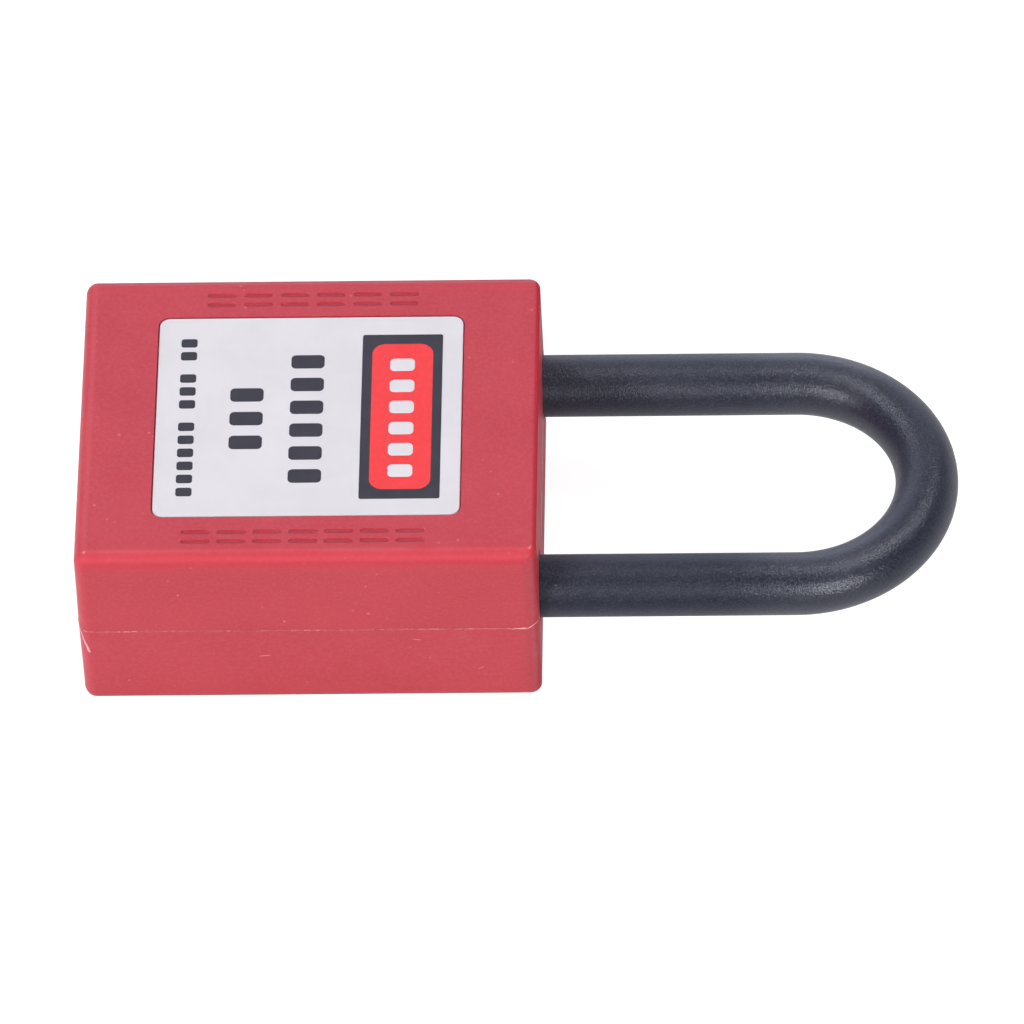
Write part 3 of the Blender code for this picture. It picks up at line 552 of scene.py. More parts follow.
def turned_metal(name, tone, seed, stretch=RINGS_X, rough_range=(0.22, 0.36)):
    """Turning rings with faint tarnish."""
    look = Look(name)
    rings = look.noise(scale=420, detail=3, rough=0.6, stretch=stretch, seed=seed)
    tarnish = look.noise(scale=260, detail=4, rough=0.65, seed=seed + 0.7)
    colour = look.mix(scaled(tone, 0.72), tone, by=rings.ramp(over=(0.30, 0.72)))
    colour = look.mix(colour, scaled(tone, 0.45),
                      by=tarnish.ramp(over=(0.50, 0.78), give=(0, 0.45)))
    rough = look.noise(scale=900, detail=3, rough=0.6, stretch=stretch, seed=seed + 1.4)
    look.bump(rings, distance=0.000010, strength=0.5, soft=0.00008)
    return look.finish(colour, rough.ramp(over=(0.3, 0.7), give=rough_range), metal=1.0)


PLUG_DARK, PLUG_LIGHT = (0.50, 0.35, 0.13), (0.78, 0.58, 0.27)
PLUG_MOTTLE, PLUG_SCRATCH = (0.60, 0.43, 0.18), (0.90, 0.78, 0.50)
PLUG_RING_RATE = 52000.0              # radians of ring pattern per metre of radius


def brass_face(name, seed):
    """Lathe rings round the plug axis and fine handling scratches."""
    look = Look(name)
    _, y, z = look.split(look.position)
    height = z - MID_Z
    radius = (y * y + height * height).sqrt()
    wave = (radius * PLUG_RING_RATE).sine()
    jitter = look.noise(scale=1500, seed=seed)
    scratch = look.noise(scale=500, stretch=(1, 1.0, 12.0), seed=seed + 2)
    colour = look.mix(PLUG_DARK, PLUG_LIGHT, by=wave.ramp(over=(-1.0, 1.0)))
    colour = look.mix(colour, PLUG_MOTTLE, by=jitter.ramp(over=(0.35, 0.75), give=(0, 0.5)))
    colour = look.mix(colour, PLUG_SCRATCH, by=scratch.ramp(over=(0.68, 0.74), give=(0, 0.6)))
    look.bump(wave * 0.5 + jitter, distance=0.000006, strength=0.6, soft=0.0001)
    return look.finish(colour, jitter.ramp(over=(0.25, 0.75), give=(0.22, 0.40)), metal=1.0)


FLASH_RED, FLASH_PALE = (0.56, 0.075, 0.092), (0.88, 0.42, 0.44)


def flash_plastic(name):
    """Blotchy, and palest at the shackle end."""
    look = Look(name)
    x = look.split(look.position)[0]
    fine = look.noise(scale=1900, detail=3, rough=0.7, seed=0.6)
    spot = look.noise(scale=420, seed=1.9)
    pale = fine.ramp(over=(0.38, 0.66)) * spot.ramp(over=(0.38, 0.58), give=(0.25, 1.0))
    end = x.ramp(over=(0.0205, 0.0225))
    pale = pale.clamped("MAXIMUM", end * fine.ramp(over=(0.25, 0.5)))
    look.bump(fine, distance=0.00001, strength=0.5)
    return look.finish(look.mix(FLASH_RED, FLASH_PALE, by=pale),
                       fine.ramp(over=(0.3, 0.7), give=(0.4, 0.6)))


FRONT_RED = red_plastic("front_shell_red_plastic", seed=0.13)
BACK_RED = red_plastic("back_shell_red_plastic", seed=2.41)
BLACK_NYLON = black_nylon("shackle_black_nylon", seed=0.37)
FRONT_FILM = film("label_white_film", seed=0.21)
BACK_FILM = film("back_label_white_film", seed=1.31)
DARK_INK = ink("label_dark_ink", tone=(0.021, 0.018, 0.027), seed=0.5)
RED_INK = ink("label_red_ink", tone=(0.930, 0.038, 0.040), seed=0.9)
BRASS = turned_metal("turned_brass", tone=(0.74, 0.54, 0.24), seed=0.3)
PIN_BRASS = turned_metal("pin_brass", tone=(0.76, 0.57, 0.27), seed=0.6, stretch=RINGS_Y)
PIN_STEEL = turned_metal("pin_steel", tone=(0.56, 0.56, 0.58), seed=0.9, stretch=RINGS_Y)
STEEL = turned_metal("zinc_plated_steel", tone=(0.58, 0.59, 0.61), seed=1.2,
                     rough_range=(0.30, 0.45))
WIRE = turned_metal("spring_wire", tone=(0.50, 0.51, 0.53), seed=1.6, rough_range=(0.25, 0.38))
PLUG_BRASS = brass_face("plug_brass", seed=0.4)


# ------------------------------------------------------------------ half bodies
def half_body(start, face):
    """Half body lofted through rounded outlines, from the parting plane to its face."""
    outward = 1 if face > MID_Z else -1
    depth = abs(face - start)

    def inset(drop, radius):
        if drop >= radius:
            return 0.0
        return radius - math.sqrt(max(radius * radius - (radius - drop) ** 2, 0.0))

    heights = [depth * share for share in (0.0, 0.15, 0.32, 0.5, 0.68)]
    heights += [depth - EDGE + EDGE * math.sin(math.radians(9 * i)) for i in range(11)]
    rings = []
    for height in heights:
        side_inset = inset(depth - height, EDGE)
        top_inset = inset(depth - height, EDGE_TOP)
        draft = BULGE * (1 - height / depth) ** 1.6
        key_x = -HALF_X + side_inset - draft
        shackle_x = HALF_X - top_inset + draft
        half_y = HALF_Y - side_inset + draft
        key_radius = max(CORNER - side_inset, 0.00012)
        shackle_radius = max(CORNER_TOP - side_inset, 0.0004)
        ring = []
        for quarter, (side_x, side_y) in enumerate(((1, 1), (-1, 1), (-1, -1), (1, -1))):
            if side_x > 0:
                radius, centre_x = shackle_radius, shackle_x - shackle_radius
            else:
                radius, centre_x = key_radius, key_x + key_radius
            centre_y = side_y * (half_y - radius)
            for i in range(11):
                angle = (quarter + i / 10) * math.pi / 2
                ring.append((centre_x + radius * math.cos(angle),
                             centre_y + radius * math.sin(angle), start + outward * height))
        rings.append(ring)
    return loft("half", rings)


LEG_HOLE, LEG_HOLE_MOUTH = 0.00345, 0.0039     # radii
LEG_CHAMFER_X = (HALF_X - 0.00030, HALF_X + 0.0002)
MIDDLE_BORE_X = (-0.0215, 0.0026)


def body_cutters():
    """Cavities shared by both halves."""
    return [
        # wide middle bore, with a box on its near side
        bore(radius=0.0069, x=MIDDLE_BORE_X),
        slot(x=(MIDDLE_BORE_X[0], 0.0013), y=(-0.0156, 0.0), half_height=0.0036),
        # plug opening and its chamfer at the key end
        bore(radius=0.0054, x=(-HALF_X - PAST, -0.0212), sides=96),
        bore(radius=0.0070, x=(-HALF_X - 0.0002, -HALF_X + 0.0004), sides=96,
             end_radius=0.0064),
        # two narrower steps of the bore towards the shackle end
        bore(radius=0.0052, x=(0.0024, 0.0072)),
        bore(radius=0.00265, x=(0.0070, 0.0136)),
        # cross-shaped room between the shackle legs
        slot(x=(0.0134, 0.0197), y=(-0.0072, 0.0072), half_height=0.0050),
        slot(x=(0.0163, 0.01965), y=(-0.0116, 0.0116), half_height=0.0025),
        # upright pin hole beside the heel leg
        rod(radius=0.00102, start=(0.0058, 0.0111, MID_Z - 0.0058),
            end=(0.0058, 0.0111, MID_Z + 0.0058), sides=24),
        # leg holes, long for the heel and short for the toe, and their chamfers
        bore(radius=LEG_HOLE, x=(-0.0193, HALF_X + PAST), y=SPAN, sides=72),
        bore(radius=LEG_HOLE, x=(0.0122, HALF_X + PAST), y=-SPAN, sides=72),
        bore(radius=LEG_HOLE, x=LEG_CHAMFER_X, y=SPAN, sides=72, end_radius=LEG_HOLE_MOUTH),
        bore(radius=LEG_HOLE, x=LEG_CHAMFER_X, y=-SPAN, sides=72, end_radius=LEG_HOLE_MOUTH),
    ]


MARK_DEPTH = 0.00019
MARK_HALF_LENGTH, MARK_HALF_WIDTH, MARK_RADIUS = 0.00150, 0.00030, 0.00026
MARK_OFFSET = 0.00064                 # of each groove from the middle of its pair
MARK_ROWS = (
    # count, y, middle x, pitch
    (6, 0.01604, 0.0001, 0.00385),
    (7, -0.01640, -0.0002, 0.00372),
)


def mark_cutters():
    """Pairs of short grooves in a row on each side of the front label."""
    marks = []
    for count, row_y, row_x, pitch in MARK_ROWS:
        for i in range(count):
            x = around(row_x + (i - (count - 1) / 2) * pitch, MARK_HALF_LENGTH)
            for side in (-1, 1):
                y = around(row_y + side * MARK_OFFSET, MARK_HALF_WIDTH)
                marks.append(slab(x, y, (FACE_Z - MARK_DEPTH, FACE_Z + PAST), MARK_RADIUS,
                                  steps=4))
    return marks


PEGS = ((-0.0217, 0.0168), (-0.0217, -0.0173), (0.0075, -0.0135), (0.0100, 0.0066))    # x, y
PEG_RADIUS, PEG_HEIGHT = 0.0011, 0.0022
PEG_HOLE_RADIUS, PEG_HOLE_DEPTH = 0.0013, 0.0026
PEG_ROOT = 0.001                      # below the parting plane
RECESS_DEPTH = 0.0004


def upright_peg(x, y, radius, height):
    return rod(radius, (x, y, MID_Z - PEG_ROOT), (x, y, MID_Z + height), sides=24)


def make_half(name, start, face, material, stands_for):
    body = half_body(start, face)
    for cutter in cutters:
        cut(body, cutter)
    outward = 1 if face > MID_Z else -1
    recess_x = (LABEL_HIGH.x - LABEL_LOW.x) / 2 + LABEL_CLEARANCE
    recess_y = (LABEL_HIGH.y - LABEL_LOW.y) / 2 + LABEL_CLEARANCE
    cut(body, slab(around(0, recess_x), around(0, recess_y),
                   sorted((face - outward * RECESS_DEPTH, face + outward * PAST)),
                   LABEL_RADIUS + LABEL_CLEARANCE))
    if outward > 0:
        for mark in marks:
            cut(body, mark)
        for x, y in PEGS:
            cut(body, upright_peg(x, y, PEG_HOLE_RADIUS, PEG_HOLE_DEPTH))
    else:
        for x, y in PEGS:
            cut(body, upright_peg(x, y, PEG_RADIUS, PEG_HEIGHT), "UNION")
    half = bake(body, name)
    half.data.materials.append(material)
    shade(half, sharp_degrees=28)
    settle(half, "housing", stands_for)


cutters = body_cutters()
marks = mark_cutters()
make_half("front_body_half", MID_Z + PARTING_GAP / 2, FACE_Z, FRONT_RED, "front_shell")
make_half("back_body_half", MID_Z - PARTING_GAP / 2, 0.0, BACK_RED, "back_shell")

# ------------------------------------------------------------------ parting-line flash
LEG_GAP, PLUG_GAP = 0.0038, 0.0070    # half widths of the breaks at the leg and plug holes
FLASH_X, FLASH_Y = HALF_X + BULGE, HALF_Y + BULGE
FLASH_STEP = 0.00022
FLASH_SIDES = 8
FLASH_FADE = 0.0012                   # length over which the bead dies away at a break
FLASH_BURSTS = (
    # places along the near side where it stands out: x, half length, extra thickness in mm
    (0.0016, 0.0009, 0.040), (0.0040, 0.0007, 0.055), (0.0178, 0.0005, 0.060),
    (0.0189, 0.0004, 0.050), (0.0213, 0.0005, 0.070), (0.0225, 0.0006, 0.085),
    (-0.0100, 0.0012, 0.02), (-0.0195, 0.0010, 0.02), (0.0095, 0.0014, 0.02),
)


def flash_path():
    """Points round the body's outline, counterclockwise from the near key-end corner."""
    key, top = CORNER + BULGE, CORNER_TOP + BULGE
    points = []

    def run(start, end):
        start, end = Vector((*start, 0)), Vector((*end, 0))
        count = max(1, int((end - start).length / FLASH_STEP))
        points.extend(start.lerp(end, i / count) for i in range(count))

    def turn(x, y, start, radius):
        for i in range(10):
            angle = start + (math.pi / 2) * i / 10
            points.append(Vector((x + radius * math.cos(angle), y + radius * math.sin(angle), 0)))

    run((-FLASH_X + key, -FLASH_Y), (FLASH_X - top, -FLASH_Y))
    turn(FLASH_X - top, -FLASH_Y + top, -math.pi / 2, top)
    run((FLASH_X, -FLASH_Y + top), (FLASH_X, FLASH_Y - top))
    turn(FLASH_X - top, FLASH_Y - top, 0, top)
    run((FLASH_X - top, FLASH_Y), (-FLASH_X + key, FLASH_Y))
    turn(-FLASH_X + key, FLASH_Y - key, math.pi / 2, key)
    run((-FLASH_X, FLASH_Y - key), (-FLASH_X, -FLASH_Y + key))
    turn(-FLASH_X + key, -FLASH_Y + key, math.pi, key)
    return points


def flash_size(point):
    """Radius and rise of the bead at a point, in millimetres."""
    x, y = point.x, point.y
    broad = noise.noise(Vector((x * 900, y * 900, 3.1)))
    fine = noise.noise(Vector((x * 3100, y * 3100, 7.7)))
    size = 0.032 + 0.020 * broad + 0.018 * fine
    rise = 0.035 * noise.noise(Vector((x * 1300, y * 1300, 11.0)))
    if y < -FLASH_Y + 0.0012:
        for burst_x, half_length, extra in FLASH_BURSTS:
            share = math.exp(-((x - burst_x) / half_length) ** 2)
            size += extra * share * (0.55 + 1.1 * abs(fine))
            rise += 0.16 * share * noise.noise(Vector((x * 1900, 2.0, 5.0)))
    # it hooks upwards round the near corner of the shackle end
    corner = math.exp(-(((x - FLASH_X) ** 2 + (y + FLASH_Y) ** 2) / 0.00075 ** 2))
    rise += 0.42 * corner
    size += 0.075 * corner
    # a small tag on the key end, towards the near side
    size += 0.10 * math.exp(-(((x + FLASH_X) ** 2 + (y + 0.0176) ** 2) / 0.0005 ** 2))
    return max(size, 0.022), rise


def flash_clearance(point):
    """Distance to the nearest break on the same end, negative inside it."""
    legs = abs(abs(point.y) - SPAN) - LEG_GAP if point.x > FLASH_X - 1e-6 else 1.0
    plug_hole = abs(point.y) - PLUG_GAP if point.x < -FLASH_X + 1e-6 else 1.0
    return min(legs, plug_hole)


def flash_bead(name):
    """Irregular bead all round the body, with breaks at the leg holes and the plug opening."""
    points = flash_path()
    count = len(points)
    bm = bmesh.new()
    rings, missing = [], []
    for i, point in enumerate(points):
        along = (points[(i + 1) % count] - points[i - 1]).normalized()
        out = Vector((along.y, -along.x, 0))
        size, rise = flash_size(point)
        clear = flash_clearance(point)
        missing.append(clear < 0)
        size *= min(1.0, 0.35 + max(clear, 0.0) / FLASH_FADE)
        size *= 0.001
        rise *= 0.001 * min(1.0, max(clear, 0.0) / FLASH_FADE)
        ring = []
        for j in range(FLASH_SIDES):
            angle = 2 * math.pi * j / FLASH_SIDES
            reach = math.cos(angle) * size * 0.85
            ring.append(bm.verts.new((point.x + out.x * reach, point.y + out.y * reach,
                                      MID_Z + rise + math.sin(angle) * size)))
        rings.append(ring)
    for i in range(count):
        following = (i + 1) % count
        here, there = rings[i], rings[following]
        if missing[i] or missing[following]:
            # close the bead on each side of a break
            if not missing[i]:
                bm.faces.new(here)
            if not missing[following]:
                bm.faces.new(list(reversed(there)))
            continue
        for j in range(FLASH_SIDES):
            k = (j + 1) % FLASH_SIDES
            bm.faces.new((here[j], there[j], there[k], here[k]))
    loose = [vert for vert in bm.verts if not vert.link_faces]
    bmesh.ops.delete(bm, geom=loose, context="VERTS")
    bmesh.ops.recalc_face_normals(bm, faces=bm.faces)
    return new_object(name, bm, looks)


bead = flash_bead("parting_line_flash")
bead.data.materials.append(flash_plastic("parting_flash_plastic"))
shade(bead, sharp_degrees=180, weighted=False)
settle(bead, "housing")

# ------------------------------------------------------------------ labels
FILM_DROP = 0.00009                   # film surface below the rim of the recess
INK_LAYER = 0.000012                  # thickness of one printed layer
INK_ROOT = 0.00001                    # depth of the print inside the film
FRONT_SURFACE = (FACE_Z - FILM_DROP, 1)        # z of the film surface, outward direction
BACK_SURFACE = (FILM_DROP, -1)


def film_sheet(low, high, z):
    sheet = slab((low.x, high.x), (low.y, high.y), z, LABEL_RADIUS)
    bevel = sheet.modifiers.new("Bevel", "BEVEL")
    bevel.width = 0.00006
    bevel.segments = 3
    bevel.limit_method = "ANGLE"
    bevel.angle_limit = math.radians(50)
    bevel.use_clamp_overlap = True
    return bake(sheet, "sheet", tools)


def printed(surface, x, y, radius, layers=1):
    """Printed block standing on a film surface."""
    level, outward = surface
    z = sorted((level - outward * INK_ROOT, level + outward * (INK_LAYER * layers)))
    return slab(x, y, z, radius)


def make_label(name, groups, stands_for):
    """One piece from (material, closed slabs) groups."""
    bm = bmesh.new()
    for index, (_, slabs) in enumerate(groups):
        for part in slabs:
            before = len(bm.faces)
            bm.from_mesh(part.data)
            bm.faces.ensure_lookup_table()
            for face in bm.faces[before:]:
                face.material_index = index
    label = new_object(name, bm, looks)
    for material, _ in groups:
        label.data.materials.append(material)
    shade(label, sharp_degrees=35)
    settle(label, "housing", stands_for)


BLOCK_LINES = (
    # count, x range, first y, pitch
    (6, (-0.0020, 0.0015), 0.00745, 0.00313),
    (3, (-0.0083, -0.0048), 0.00295, 0.00325),
)
SMALL_GROUPS, SMALL_X, SMALL_START_Y = (2, 3, 6), (-0.01365, -0.01195), 0.01015
SMALL_PITCH, SMALL_GROUP_GAP = 0.00178, 0.00130


def front_label():
    sheet = film_sheet(LABEL_LOW, LABEL_HIGH, (LABEL_LOW.z, FRONT_SURFACE[0]))
    dark = [printed(FRONT_SURFACE, x=(0.00545, 0.0139), y=(-0.0114, 0.0111), radius=0.00025)]
    for count, x, first_y, pitch in BLOCK_LINES:
        for i in range(count):
            y = around(first_y - i * pitch, 0.00092)
            dark.append(printed(FRONT_SURFACE, x, y, radius=0.0005))
    middle_y = SMALL_START_Y
    for count in SMALL_GROUPS:
        for _ in range(count):
            y = around(middle_y, 0.00058)
            dark.append(printed(FRONT_SURFACE, SMALL_X, y, radius=0.0003))
            middle_y -= SMALL_PITCH
        middle_y -= SMALL_GROUP_GAP
    panel = printed(FRONT_SURFACE, x=(0.0065, 0.0129), y=(-0.0101, 0.0098), radius=0.0014,
                    layers=2)
    windows = [printed(FRONT_SURFACE, x=(0.0084, 0.0110), y=around(0.0069 - i * 0.0029, 0.00085),
                       radius=0.0005, layers=3) for i in range(6)]
    groups = [(FRONT_FILM, [sheet] + windows), (DARK_INK, dark), (RED_INK, [panel])]
    make_label("front_label_film", groups, "front_label")


def back_label():
    sheet = film_sheet(BACK_LABEL_LOW, BACK_LABEL_HIGH, (BACK_SURFACE[0], BACK_LABEL_HIGH.z))
    dark = [printed(BACK_SURFACE, x=(0.0086, 0.0139), y=around(0, 0.0113), radius=0.00035)]
    for i in range(4):                # blank write-on rules
        x = around(0.0040 - i * 0.0050, 0.00012)
        dark.append(printed(BACK_SURFACE, x, y=around(0, 0.0108), radius=0.00010))
    panel = printed(BACK_SURFACE, x=(0.0095, 0.0130), y=around(0, 0.0103), radius=0.0008,
                    layers=2)
    groups = [(BACK_FILM, [sheet]), (DARK_INK, dark), (RED_INK, [panel])]
    make_label("back_label_film", groups, "back_label")


front_label()
back_label()

# ------------------------------------------------------------------ shackle
TOE_X, HEEL_X = 0.0126, SHACKLE_LOW.x          # ends of the near and the far leg
ROD_LOOK, SPAN_LOOK = ROD + 0.00005, SPAN + 0.00003
TIP = 0.0007                                   # rounding of the leg ends
GROOVE_X = (-0.0074, -0.0046)


def shackle_path():
    """Stations from heel to toe, round the bend: x, y, radius."""
    angles = [(math.pi / 2) * i / 6 for i in range(7)]
    tip = [(TIP * (1 - math.cos(a)), ROD_LOOK - TIP * (1 - math.sin(a))) for a in angles]
    heel, toe = HEEL_X + TIP, TOE_X + TIP
    path = [(HEEL_X + inset, SPAN_LOOK, radius) for inset, radius in tip]
    path += [(heel + (BEND_X - heel) * i / 40, SPAN_LOOK, ROD_LOOK) for i in range(1, 40)]
    for i in range(73):
        angle = math.pi / 2 - math.pi * i / 72
        path.append((BEND_X + SPAN_LOOK * math.cos(angle), SPAN_LOOK * math.sin(angle), ROD_LOOK))
    path += [(BEND_X + (toe - BEND_X) * i / 26, -SPAN_LOOK, ROD_LOOK) for i in range(1, 26)]
    path += [(TOE_X + inset, -SPAN_LOOK, radius) for inset, radius in reversed(tip)]
    return path


def tube(path, sides):
    """Round tube through stations in the parting plane."""
    points = [Vector((x, y, MID_Z)) for x, y, _ in path]
    last = len(points) - 1
    rings = []
    for i, (_, _, radius) in enumerate(path):
        along = (points[min(i + 1, last)] - points[max(i - 1, 0)]).normalized()
        across = Vector((-along.y, along.x, 0))
        ring = []
        for j in range(sides):
            angle = 2 * math.pi * j / sides
            out = across * math.cos(angle) + Vector((0, 0, 1)) * math.sin(angle)
            ring.append(points[i] + out * radius)
        rings.append(ring)
    return loft("tube", rings, along_first=True)


def make_shackle():
    bow = tube(shackle_path(), sides=56)
    # a notch on the inner side of each leg
    for side in (1, -1):
        y = sorted((side * (LEG_INNER_Y - 0.0005), side * (LEG_INNER_Y + 0.0020)))
        cut(bow, slot(x=(0.0162, 0.0198), y=y, half_height=0.005))
    # a long flat on the inner side of the heel leg, with a groove all round at one end
    cut(bow, slot(x=(GROOVE_X[0], 0.0079), y=(LEG_INNER_Y - 0.0005, LEG_INNER_Y + 0.0018),
                  half_height=0.005))
    ring = bore(ROD + 0.001, GROOVE_X, y=SPAN, sides=56)
    cut(ring, bore(ROD - 0.0018, x=(-0.0090, -0.0030), y=SPAN, sides=56))
    cut(bow, ring)
    shackle = bake(bow, "shackle_bow")
    shackle.data.materials.append(BLACK_NYLON)
    shade(shackle, sharp_degrees=35)
    settle(shackle, "shackle", "shackle")


make_shackle()

# ------------------------------------------------------------------ plug
PLUG_PROFILE = (
    # radius, x, from tail to face
    (0.00455, 0.0060), (0.00475, 0.0058), (0.00475, 0.0022), (0.0039, 0.0022),
    (0.0039, 0.0012), (0.00475, 0.0012), (0.00475, -0.0216), (0.0051, -0.0216),
    (0.0051, PLUG_FACE_X + 0.0003), (0.00502, PLUG_FACE_X + 0.00012), (0.0048, PLUG_FACE_X),
)
KEYWAY = (
    # outline in the plug face: y, height above the parting plane
    (-0.0030, -0.0005), (-0.0013, -0.0005), (-0.0009, -0.0010), (0.0009, -0.0010),
    (0.0013, -0.0004), (0.0038, -0.0004), (0.0038, 0.0010), (0.0022, 0.0010),
    (0.0018, 0.0005), (-0.0003, 0.0005), (-0.0007, 0.0010), (-0.0030, 0.0010),
)
KEYWAY_X = (PLUG_FACE_X - 0.001, -0.0006)


def lathe(profile, sides):
    """Closed solid of revolution round the plug axis."""
    angles = [2 * math.pi * j / sides for j in range(sides)]
    return loft("lathe", [[(x, radius * math.cos(a), MID_Z + radius * math.sin(a))
                           for a in angles] for radius, x in profile])


def keyway_cutter():
    bm = bmesh.new()
    outer, inner = ([bm.verts.new((x, y, MID_Z + height)) for y, height in KEYWAY]
                    for x in KEYWAY_X)
    bm.faces.new(outer)
    bm.faces.new(list(reversed(inner)))
    for i in range(len(KEYWAY)):
        j = (i + 1) % len(KEYWAY)
        bm.faces.new((outer[i], inner[i], inner[j], outer[j]))
    bmesh.ops.recalc_face_normals(bm, faces=bm.faces)
    return new_object("keyway", bm)


def make_plug():
    core = lathe(PLUG_PROFILE, sides=96)
    cut(core, keyway_cutter())
    # slot across the tail
    cut(core, slot(x=(0.0036, 0.0070), y=(-0.006, 0.006), half_height=0.0012))
    for x in PIN_X:
        cut(core, rod(radius=0.00145, start=(x, -0.0060, MID_Z), end=(x, 0.0006, MID_Z),
                      sides=32))
    plug = bake(core, "plug_core")
    plug.data.materials.append(PLUG_BRASS)
    shade(plug, sharp_degrees=30)
    settle(plug, "plug", "plug")


make_plug()

# ------------------------------------------------------------------ CAD bodies that keep their shape
KEPT = {
    "cylinder_housing": BRASS, "chamber_cover": BRASS, "plug_clip": WIRE, "actuator": STEEL,
    "toe_bolt": STEEL, "heel_bolt": STEEL, "heel_retaining_pin": STEEL, "shackle_spring": WIRE,
}
for i in range(1, 6):
    KEPT[f"key_pin_{i}"] = PIN_BRASS
    KEPT[f"driver_pin_{i}"] = PIN_STEEL
for name, material in KEPT.items():
    body = frame["nodes"][name]
    if not body.material_slots:
        body.data.materials.append(material)
    for material_slot in body.material_slots:
        material_slot.link = "OBJECT"
        material_slot.material = material

# ------------------------------------------------------------------ pin springs
SPRING_SEAT_Y, SPRING_TOP_Y = -0.01426, -0.00844
SPRING_RADIUS, SPRING_WIRE = 0.00095, 0.00014  # radii of the coil and of its wire
SPRING_TURNS, STEPS_PER_TURN = 6.8, 18
CLOSED_TURNS = 0.9                             # at each end
CLOSED_PITCH = 2.05 * SPRING_WIRE


def coil_height(turn):
    length = SPRING_TOP_Y - SPRING_SEAT_Y
    if turn < CLOSED_TURNS:
        return CLOSED_PITCH * turn
    if turn > SPRING_TURNS - CLOSED_TURNS:
        return length - CLOSED_PITCH * (SPRING_TURNS - turn)
    open_length = length - 2 * CLOSED_PITCH * CLOSED_TURNS
    open_turns = SPRING_TURNS - 2 * CLOSED_TURNS
    return CLOSED_PITCH * CLOSED_TURNS + open_length * (turn - CLOSED_TURNS) / open_turns


def coil(name, x):
    """Spring along Y with closed ends."""
    count = int(SPRING_TURNS * STEPS_PER_TURN)
    points, outs = [], []
    for i in range(count + 1):
        turn = SPRING_TURNS * i / count
        angle = 2 * math.pi * turn
        out = Vector((math.cos(angle), 0, math.sin(angle)))
        axis_point = Vector((x, SPRING_SEAT_Y + coil_height(turn), MID_Z))
        points.append(axis_point + out * SPRING_RADIUS)
        outs.append(out)
    rings = []
    for i, (point, out) in enumerate(zip(points, outs)):
        along = (points[min(i + 1, count)] - points[max(i - 1, 0)]).normalized()
        across = along.cross(out).normalized()
        angles = [math.pi * j / 4 for j in range(8)]
        rings.append([point + (out * math.cos(a) + across * math.sin(a)) * SPRING_WIRE
                      for a in angles])
    return loft(name, rings, looks, along_first=True)


for number, x in enumerate(PIN_X, start=1):
    spring = coil(f"pin_spring_{number}", x)
    spring.data.materials.append(WIRE)
    shade(spring, sharp_degrees=70, weighted=False)
    settle(spring, "housing", f"driver_spring_{number}")
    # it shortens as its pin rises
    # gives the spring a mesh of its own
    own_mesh(spring)

# the cutting shapes have done their work
for obj in list(tools.objects):
    bpy.data.objects.remove(obj)

# ------------------------------------------------------------------ floor
FLOOR_SIZE, FLOOR_Z = 3.0, -0.00015
FLOOR_TONE = 0.30
FLOOR_WHITE = 0.90                    # glow seen by the camera
FLOOR_SHEEN = 0.52                    # glow seen in reflections
FLOOR_BOUNCE = 0.10                   # glow that lights the padlock


def make_floor():
    """A paper-white sweep to the eye, a dimmer bounce on the padlock."""
    bm = bmesh.new()
    bmesh.ops.create_grid(bm, x_segments=1, y_segments=1, size=FLOOR_SIZE,
                          matrix=Matrix.Translation((0, 0, FLOOR_Z)))
    floor = new_object("floor", bm, scene.collection)
    material = bpy.data.materials.new("floor_white")
    material.use_nodes = True
    tree = material.node_tree
    path = add_node(tree, "ShaderNodeLightPath")
    sheen = add_node(tree, "ShaderNodeMapRange", {
        "Value": path.outputs["Is Glossy Ray"], "To Min": FLOOR_BOUNCE, "To Max": FLOOR_SHEEN})
    glow = add_node(tree, "ShaderNodeMapRange", {
        "Value": path.outputs["Is Camera Ray"], "To Min": sheen.outputs["Result"],
        "To Max": FLOOR_WHITE})
    inputs = {"Base Color": (FLOOR_TONE, FLOOR_TONE, FLOOR_TONE), "Roughness": 0.9,
              "Specular IOR Level": 0.1, "Emission Color": (1, 1, 1),
              "Emission Strength": glow.outputs["Result"]}
    for key, value in inputs.items():
        feed(tree, tree.nodes["Principled BSDF"].inputs[key], value)
    material.cycles.emission_sampling = "NONE"
    floor.data.materials.append(material)


make_floor()

# ------------------------------------------------------------------ world
VIEW = Vector((0.03200, -0.64040, 0.76740))    # from the padlock towards the camera
WORLD_COLOUR = (0.95, 0.97, 1.0)
WORLD_WALL, WORLD_HOLE = 0.16, 0.05            # strength of the walls, and round the camera
WORLD_FROM, WORLD_TO = 0.35, 0.95              # cosine to VIEW where the fall starts and ends
WORLD_SEEN = 0.92                              # strength the camera itself sees


def make_world():
    """Light tent: light walls with a dark opening round the camera."""
    world = bpy.data.worlds.new("light_tent")
    scene.world = world
    world.use_nodes = True
    tree = world.node_tree
    background = tree.nodes["Background"]
    coords = add_node(tree, "ShaderNodeTexCoord")
    toward = add_node(tree, "ShaderNodeVectorMath",
                      {0: coords.outputs["Generated"], 1: VIEW}, operation="DOT_PRODUCT")
    fall = add_node(tree, "ShaderNodeMapRange", {
        "Value": toward.outputs["Value"], "From Min": WORLD_FROM, "From Max": WORLD_TO,
        "To Min": WORLD_WALL, "To Max": WORLD_HOLE}, interpolation_type="SMOOTHSTEP")
    path = add_node(tree, "ShaderNodeLightPath")
    strength = add_node(tree, "ShaderNodeMix", {
        "Factor": path.outputs["Is Camera Ray"], "A": fall.outputs["Result"],
        "B": WORLD_SEEN}, data_type="FLOAT")
    feed(tree, background.inputs[0], WORLD_COLOUR)
    feed(tree, background.inputs[1], strength.outputs["Result"])


make_world()

# ------------------------------------------------------------------ lamps
LAMP_TARGET = Vector((0.0, 0.0, 0.01))
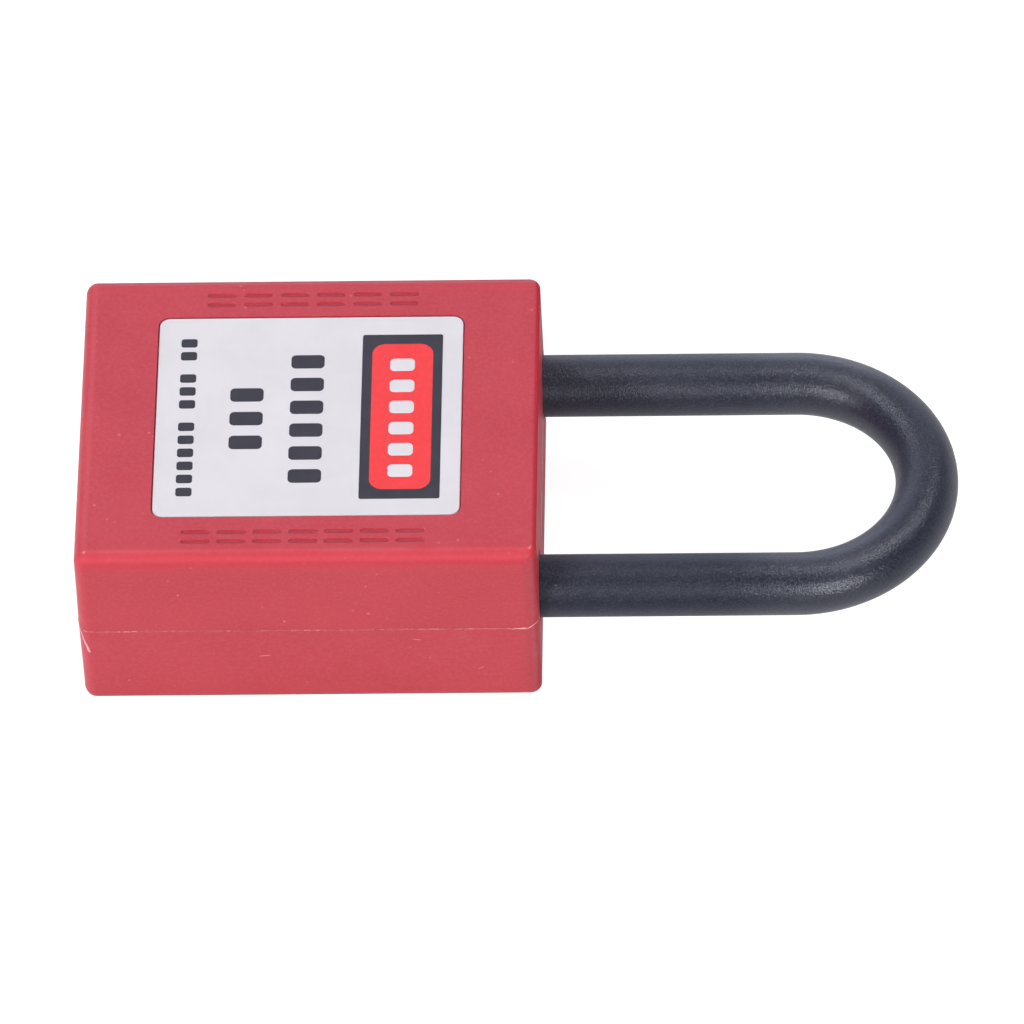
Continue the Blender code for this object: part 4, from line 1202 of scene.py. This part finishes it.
# The diffuse share comes from small lamps, the sheen from wide panels and small glints.
LAMPS = (
    # name, direction, distance, size, power, colour, seen in sheen, seen in diffuse
    ("key_front", (0.03, -0.63, 0.776), 1.3, (0.55, 0.55), 5.2, (1, 1, 1), False, True),
    ("front_left", (-0.47, -0.76, 0.45), 1.3, (0.30, 0.30), 6.8, (0.98, 0.99, 1.06), False, True),
    ("front_right", (0.39, -0.83, 0.39), 1.3, (0.30, 0.30), 4.2, (0.98, 0.99, 1.06), False, True),
    ("back_left", (-0.42, 0.22, 0.88), 1.3, (0.22, 0.50), 3.0, (0.98, 0.99, 1.08), False, True),
    ("back_right", (0.42, 0.20, 0.88), 1.3, (0.22, 0.50), 4.0, (0.98, 0.99, 1.08), False, True),
    ("far_left", (-0.97, -0.20, 0.08), 1.3, (0.40, 0.40), 8.5, (1, 1, 1), True, True),
    ("far_right", (0.97, -0.05, 0.22), 1.3, (0.40, 0.40), 2.2, (1, 1, 1), False, True),
    ("sheen_back", (-0.30, 0.75, 0.59), 1.2, (1.6, 0.9), 3.9, (0.86, 0.90, 1.16), True, False),
    ("rim_back", (-0.05, 0.98, 0.16), 1.2, (1.6, 0.5), 4.6, (0.88, 0.92, 1.10), True, False),
    ("glint_front_left", (-0.47, -0.76, 0.45), 1.3, (0.16, 0.16), 10.5, (0.96, 0.98, 1.08),
     True, False),
    ("glint_front_right", (0.39, -0.83, 0.39), 1.3, (0.16, 0.16), 10.5, (0.96, 0.98, 1.08),
     True, False),
    ("glint_back_left", (-0.42, 0.22, 0.88), 1.3, (0.16, 0.34), 9.0, (0.96, 0.98, 1.08),
     True, False),
    ("glint_back_right", (0.42, 0.20, 0.88), 1.3, (0.16, 0.34), 10.5, (0.96, 0.98, 1.08),
     True, False),
)


def make_lamp(name, direction, distance, size, power, colour, in_sheen, in_diffuse):
    light = bpy.data.lights.new(name, "AREA")
    light.shape = "RECTANGLE"
    light.size, light.size_y = size
    light.energy = power
    light.color = colour
    lamp = bpy.data.objects.new(name, light)
    scene.collection.objects.link(lamp)
    direction = Vector(direction).normalized()
    lamp.location = LAMP_TARGET + direction * distance
    lamp.rotation_euler = (-direction).to_track_quat("-Z", "Y").to_euler()
    lamp.visible_glossy = in_sheen
    lamp.visible_diffuse = in_diffuse


for lamp_row in LAMPS:
    make_lamp(*lamp_row)

# ------------------------------------------------------------------ camera
CAMERA_RIGHT = Vector((0.99945, 0.01388, -0.03009))
CAMERA_UP = Vector((0.00862, 0.76794, 0.64049))
CAMERA_PLACE = (0.06001 + BODY_X, -0.78454, 0.94746)
SENSOR_WIDTH, FOCAL_LENGTH = 36.0, 407.67      # in millimetres


def make_camera():
    lens = bpy.data.cameras.new("camera")
    lens.sensor_width = SENSOR_WIDTH
    lens.lens = FOCAL_LENGTH
    lens.clip_start = 0.05
    lens.clip_end = 50
    camera = bpy.data.objects.new("camera", lens)
    scene.collection.objects.link(camera)
    pose = Matrix((CAMERA_RIGHT, CAMERA_UP, VIEW)).transposed().to_4x4()
    pose.translation = CAMERA_PLACE
    camera.matrix_world = pose
    scene.camera = camera


make_camera()
scene.view_settings.view_transform = "Standard"
scene.view_settings.look = "None"
